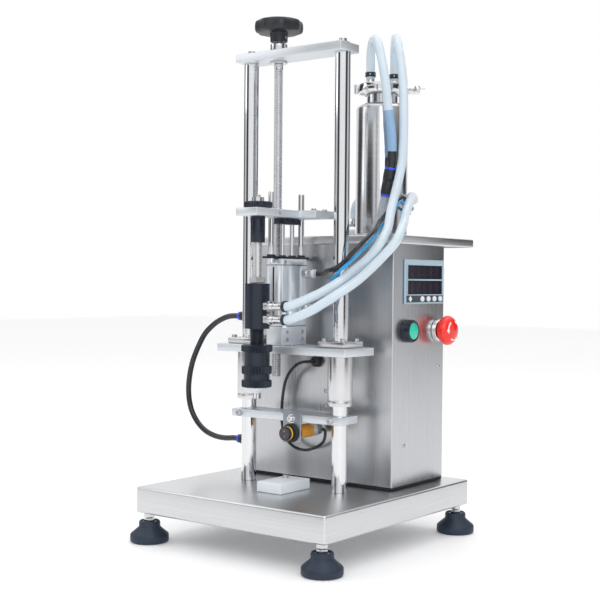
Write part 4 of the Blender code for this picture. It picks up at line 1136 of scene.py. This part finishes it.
def makeButtons():
    face = buttonLook["face"]
    start = (face, *buttonLook["start"])
    shapes = [
        turned(buttonLook["seal"], "gasketRubber", start, toRight, steps=72, closed=True),
        turned(buttonLook["startCollar"], "blackAnodised", start, toRight, steps=72, closed=True, edge=0),
        turned(buttonLook["shank"], "blackPlastic", start, toRight),
    ]
    piece("startCollar", "base", shapes, ["start_collar"])
    cap = turned(buttonLook["startCap"], "greenButton", start, toRight, steps=72, edge=0)
    piece("startButton", "start_cap", [cap], ["start_button"])
    stop = (face, *buttonLook["stop"])
    shapes = [
        turned(buttonLook["stopCollar"], "chrome", stop, toRight, steps=72, closed=True, edge=0.5),
        turned(buttonLook["shank"], "blackPlastic", stop, toRight),
    ]
    piece("stopCollar", "base", shapes, ["stop_collar"])
    shapes = [turned(buttonLook["stopCap"], "redButton", stop, toRight, steps=96, edge=0)]
    shapes += stopArrows(stop)
    piece("stopButton", "stop_cap", shapes, ["stop_button"])


# three curved arrows on the dome that show which way it turns to let go
def stopArrows(base):
    reach, headFrom = arrowLook["reach"], arrowLook["headFrom"]
    made = []
    for number in range(3):
        shape = bmesh.new()
        outer, inner = [], []
        for step in range(13):
            share = step / 12
            angle = math.radians(120 * number + arrowLook["span"] * share)
            half = arrowLook["half"]
            if share >= headFrom:
                half = arrowLook["head"] * (1.0 - share) / (1.0 - headFrom) + 0.02
            for radius, line in ((reach + half, outer), (reach - half, inner)):
                # the dome falls away faster towards its rim
                height = 25.02 - (radius - 13.2) * 0.42 - max(0.0, radius - 14.2) * 0.12
                y, z = base[1] + radius * math.cos(angle), base[2] + radius * math.sin(angle)
                line.append(shape.verts.new(at(base[0] + height, y, z)))
        for i in range(12):
            shape.faces.new((outer[i], outer[i + 1], inner[i + 1], inner[i]))
        arrow = shown(meshOf(shape), "paintWhite")
        thick = arrow.modifiers.new("thick", "SOLIDIFY")
        thick.thickness = arrowLook["thick"] * mm
        thick.offset = 0.0
        made.append(baked(arrow))
    return made


tankLook = {
    "x": 45.0, "y": 136.0, "radius": 35.5, "wall": 1.5, "clampTurn": 37.5, "boltReach": 46.0,
    "lid": [(0, 607.6), (26.5, 607.6), (28.2, 607.2), (30, 605.6), (30, 603.3), (0, 603.3)],
    "barbs": ((36.0, 120.0), (54.0, 152.0)),
    "barb": [(5.5, 616), (5.5, 612.5), (7.2, 612.5), (7.2, 607)],
    "band": [
        (33.4, 609.6), (34.2, 608.2), (34.2, 599.0), (33.4, 597.4), (31.0, 597.0), (30.3, 597.8),
        (30.3, 609.4), (31.0, 610),
    ],
}


def makeTank():
    x, y, radius = tankLook["x"], tankLook["y"], tankLook["radius"]
    axis = (x, y, 0)
    inner = radius - tankLook["wall"]
    body = [
        (0, 402.3), (inner - 3, 402.3), (inner, 405.3), (inner, 575), (28.5, 580), (20, 583), (20, 603),
        (30, 603), (30, 600.4), (21.5, 597.6), (21.5, 584.6), (29.5, 582), (33.6, 579.6), (radius, 576),
        (radius, 405.5), (radius - 0.6, 404.6), (radius, 403.8), (radius - 0.6, 401.4),
        (radius - 2, 400.8), (0, 400.8),
    ]
    shapes = [turned(body, "tankSteel", axis, steps=96, edge=0)]
    piece("tankBody", "base", shapes, ["tank_body"])
    shapes = [turned(tankLook["lid"], "turnedSteel", axis, steps=72, edge=0)]
    for place in tankLook["barbs"]:
        shapes.append(turned(tankLook["barb"], "turnedSteel", (*place, 0), edge=0.5))
    piece("tankLid", "base", shapes, ["tank_lid"])
    turn = math.radians(tankLook["clampTurn"])
    centre = (x, y, 603.5)
    reach = tankLook["boltReach"]
    shapes = [turned(tankLook["band"], "chrome", axis, steps=96, closed=True, edge=0)]
    for middle in (y - 3.4, y + 3.4):
        low, high = (x + 32, middle - 2.4, 598), (x + reach + 5, middle + 2.4, 609)
        shapes.append(swung(block(low, high, "chrome", 1.2, 3), turn, centre))
    shapes.append(swung(turned([(4.0, 12.5), (4.0, 0)], "chrome", (x - 35, y, 597.2)), turn, centre))
    piece("tankClamp", "base", shapes, ["tank_clamp"])
    place = (x + reach, y - 6.3, centre[2])
    shapes = [
        turned([(3.2, 11.5), (4.4, 10), (5.0, 1.5), (5.0, 0)], "turnedSteel", place, toFront, edge=0.5),
        threaded(2.3, 2.9, -14.0, 14.0, 1.25, "screwSteel", place, toFront),
    ]
    for side, half in ((-1, math.pi), (1, 0.0)):
        wing = block((-1.4, -1.0, -1.4), (9.2, 1.0, 6.4), "turnedSteel", 0.9, 3)
        stand = Matrix.Rotation(math.pi / 2, 4, "X") @ Matrix.Rotation(half, 4, "Z")
        root = Matrix.Translation(at(*place) + Vector((2.0 * side, -3.4, 0.0)) * mm)
        wing.data.transform(root @ stand @ Matrix.Translation(-at(0, 0, 0)))
        shapes.append(wing)
    for part in shapes:
        swung(part, turn, centre)
    piece("wingNut", "clamp_wing", shapes, ["wing_nut"])


fittingLook = {
    "ports": (-46.0, -26.0, -6.0),
    "stub": [(4.0, 432), (4.0, 428.5), (5.6, 428.0), (5.6, 424), (6.8, 424, "hex"), (6.8, 420, "hex")],
    "loop": (("upper", 290.0), ("lower", 116.0)),
    "gland": (4.8, 46.7, 233.4),
    "stopBlock": ((-8, -64, 72.3), (31, -3, 85.5)),
    "stopBolt": (4, -20),
    "pumpPlace": (26, 110, 118),
    "pump": [
        (0, 46), (22, 46), (28, 42), (30, 37), (30, 20), (28.5, 19.4), (28.5, 17.6), (30, 17), (30, -34),
        (27, -40), (20, -46), (0, -46),
    ],
}


def makeFittings():
    shapes = [block((-54, 190, 400.8), (3, 212, 420), "turnedSteel", 1.0, 3)]
    for x in fittingLook["ports"]:
        shapes.append(turned(fittingLook["stub"], "turnedSteel", (x, 202, 0), edge=0))
    piece("rearPorts", "base", shapes, ["rear_ports"])
    for name, z in fittingLook["loop"]:
        base = (-124.3, 56.0, z)
        shapes = [
            turned([(7.5, 8.6, "hex"), (7.5, 0, "hex")], "blackPlastic", base, toLeft, edge=0),
            turned([(6.5, 12.4), (6.5, 8.6)], "blackPlastic", base, toLeft),
            turned([(4.3, 17), (6.1, 16.4), (6.1, 13.0), (4.3, 12.4)], "blueCollar", base, toLeft, edge=0.3),
            turned([(4.8, 0), (4.8, -8)], "blackPlastic", base, toLeft),
        ]
        piece(f"loopFitting{name.title()}", "base", shapes, [f"loop_fitting_{name}"])
    base = fittingLook["gland"]
    dome = [(2.6, 9.5), (4.4, 9.4), (5.6, 8.4), (7.0, 7.0), (7.0, 3.4)]
    shapes = [
        turned([(7.6, 3.4, "hex"), (7.6, 0, "hex")], "blackPlastic", base, toFront, edge=0),
        turned(dome, "blackPlastic", base, toFront, edge=0.3),
        turned([(4.8, 0), (4.8, -7)], "blackPlastic", base, toFront),
    ]
    piece("leadGland", "base", shapes, ["lead_gland"])
    low, high = fittingLook["stopBlock"]
    bolt = fittingLook["stopBolt"]
    shapes = [
        block(low, high, "whitePlastic", 1.2, 4),
        turned([(4.4, 0.8), (4.4, 0)], "turnedSteel", (*bolt, high[2])),
        capScrew((*bolt, high[2] + 0.8), up, 3.2, 3.2, "turnedSteel"),
    ]
    piece("stopBlock", "base", shapes, ["stop_block"])
    shapes = [
        turned(fittingLook["pump"], "pumpCasting", fittingLook["pumpPlace"], toRight, steps=64, edge=0.6),
        block((-10, 84, 72.3), (60, 136, 98), "pumpCasting", 2.0, 3),
    ]
    piece("vacuumPump", "base", shapes, ["vacuum_pump"])


# the point of the tank hose at a height, on its way down
def pointDown(line, height):
    down = range(int(len(line) * 0.4) + 1, len(line) - 1)
    return line[min(down, key=lambda i: abs(line[i].z / mm - height))]


def onLine(profile, finishName, point, direction):
    shape = turned(profile, finishName, steps=40, edge=0.3)
    turn = Vector(up).rotation_difference(direction).to_matrix().to_4x4()
    shape.data.transform(Matrix.Translation(point) @ turn @ Matrix.Translation(-at(0, 0, 0)))
    return shape


unionLook = {"top": 489.0, "bottom": 458.5, "bore": 6.1}


def makeHoseUnion():
    line = smoothLine(cords["tankHose"]["route"], 3.0)
    top, bottom = pointDown(line, unionLook["top"]), pointDown(line, unionLook["bottom"])
    rise = (top - bottom).normalized()
    length = (top - bottom).length / mm
    bore = unionLook["bore"]
    body = [
        (bore, length), (8.2, length), (8.6, length - 3), (8.6, length * 0.60), (6.9, length * 0.56),
        (6.9, length * 0.48), (8.4, length * 0.44), (8.4, 3), (8.0, 0), (bore, 0),
    ]
    upper = [(bore, length + 3), (8.0, length + 3), (8.0, length), (bore, length)]
    lower = [(bore, 0), (7.8, 0), (7.8, -3), (bore, -3)]
    shapes = [
        onLine(body, "blackPlastic", bottom, rise),
        onLine(upper, "blueCollar", bottom, rise),
        onLine(lower, "blueCollar", bottom, rise),
    ]
    piece("hoseUnion", "base", shapes)


def makeClampRings():
    ring = [(6.05, 625.5), (7.3, 625.5), (7.3, 619.5), (6.05, 619.5)]
    shapes = []
    for x, y in tankLook["barbs"]:
        shapes.append(turned(ring, "blackPlastic", (x, y, 0), closed=True))
        for angle in range(0, 360, 60):
            out = Vector((math.cos(math.radians(angle)), math.sin(math.radians(angle)), 0.0))
            place = (x + 7.2 * out.x, y + 7.2 * out.y, 622.5)
            stud = [(0, 0.5), (1.0, 0.3), (1.1, 0), (0, 0)]
            shapes.append(turned(stud, "screwSteel", place, out, steps=12, edge=0))
    piece("lidHoseClamps", "base", shapes)
    ring = [(6.05, 4.6), (7.1, 4.6), (7.1, 0), (6.05, 0)]
    shapes = []
    for level in nozzleLook["barbs"]:
        shapes.append(turned(ring, "blackPlastic", (31.5, nozzleAxis["y"], level), toRight, closed=True))
        shapes.append(block((31.8, -64, level - 10.0), (35.8, -60, level - 6.6), "whitePlastic", 0.6, 2))
    piece("nozzleHoseClamps", "head", shapes)


def makeFloor():
    half = studio["floorSize"] / 2
    shape = bmesh.new()
    corners = [(-half, -half), (half, -half), (half, half), (-half, half)]
    shape.faces.new([shape.verts.new((x, y, 0.0)) for x, y in corners])
    floor = shown(meshOf(shape, "floor"), "paleFloor")
    floor.name = "floor"


right = makeCamera()
for name, facts in cords.items():
    makeCord(name, facts)
print("camera and cords ready")
makeWorld(right)
makeLamps()
makeFloor()
print("studio ready")
makeTray()
makeFeet()
makeColumns()
makeBeam()
makeHeightScrew()
makeCarriage()
print("frame and carriage ready")
makeCylinder()
makeHead()
makeNozzle()
makeSensor()
print("filling head and sensor ready")
makeCabinet()
makePanel()
makeButtons()
makeTank()
makeFittings()
makeHoseUnion()
makeClampRings()
print("cabinet and tank ready")
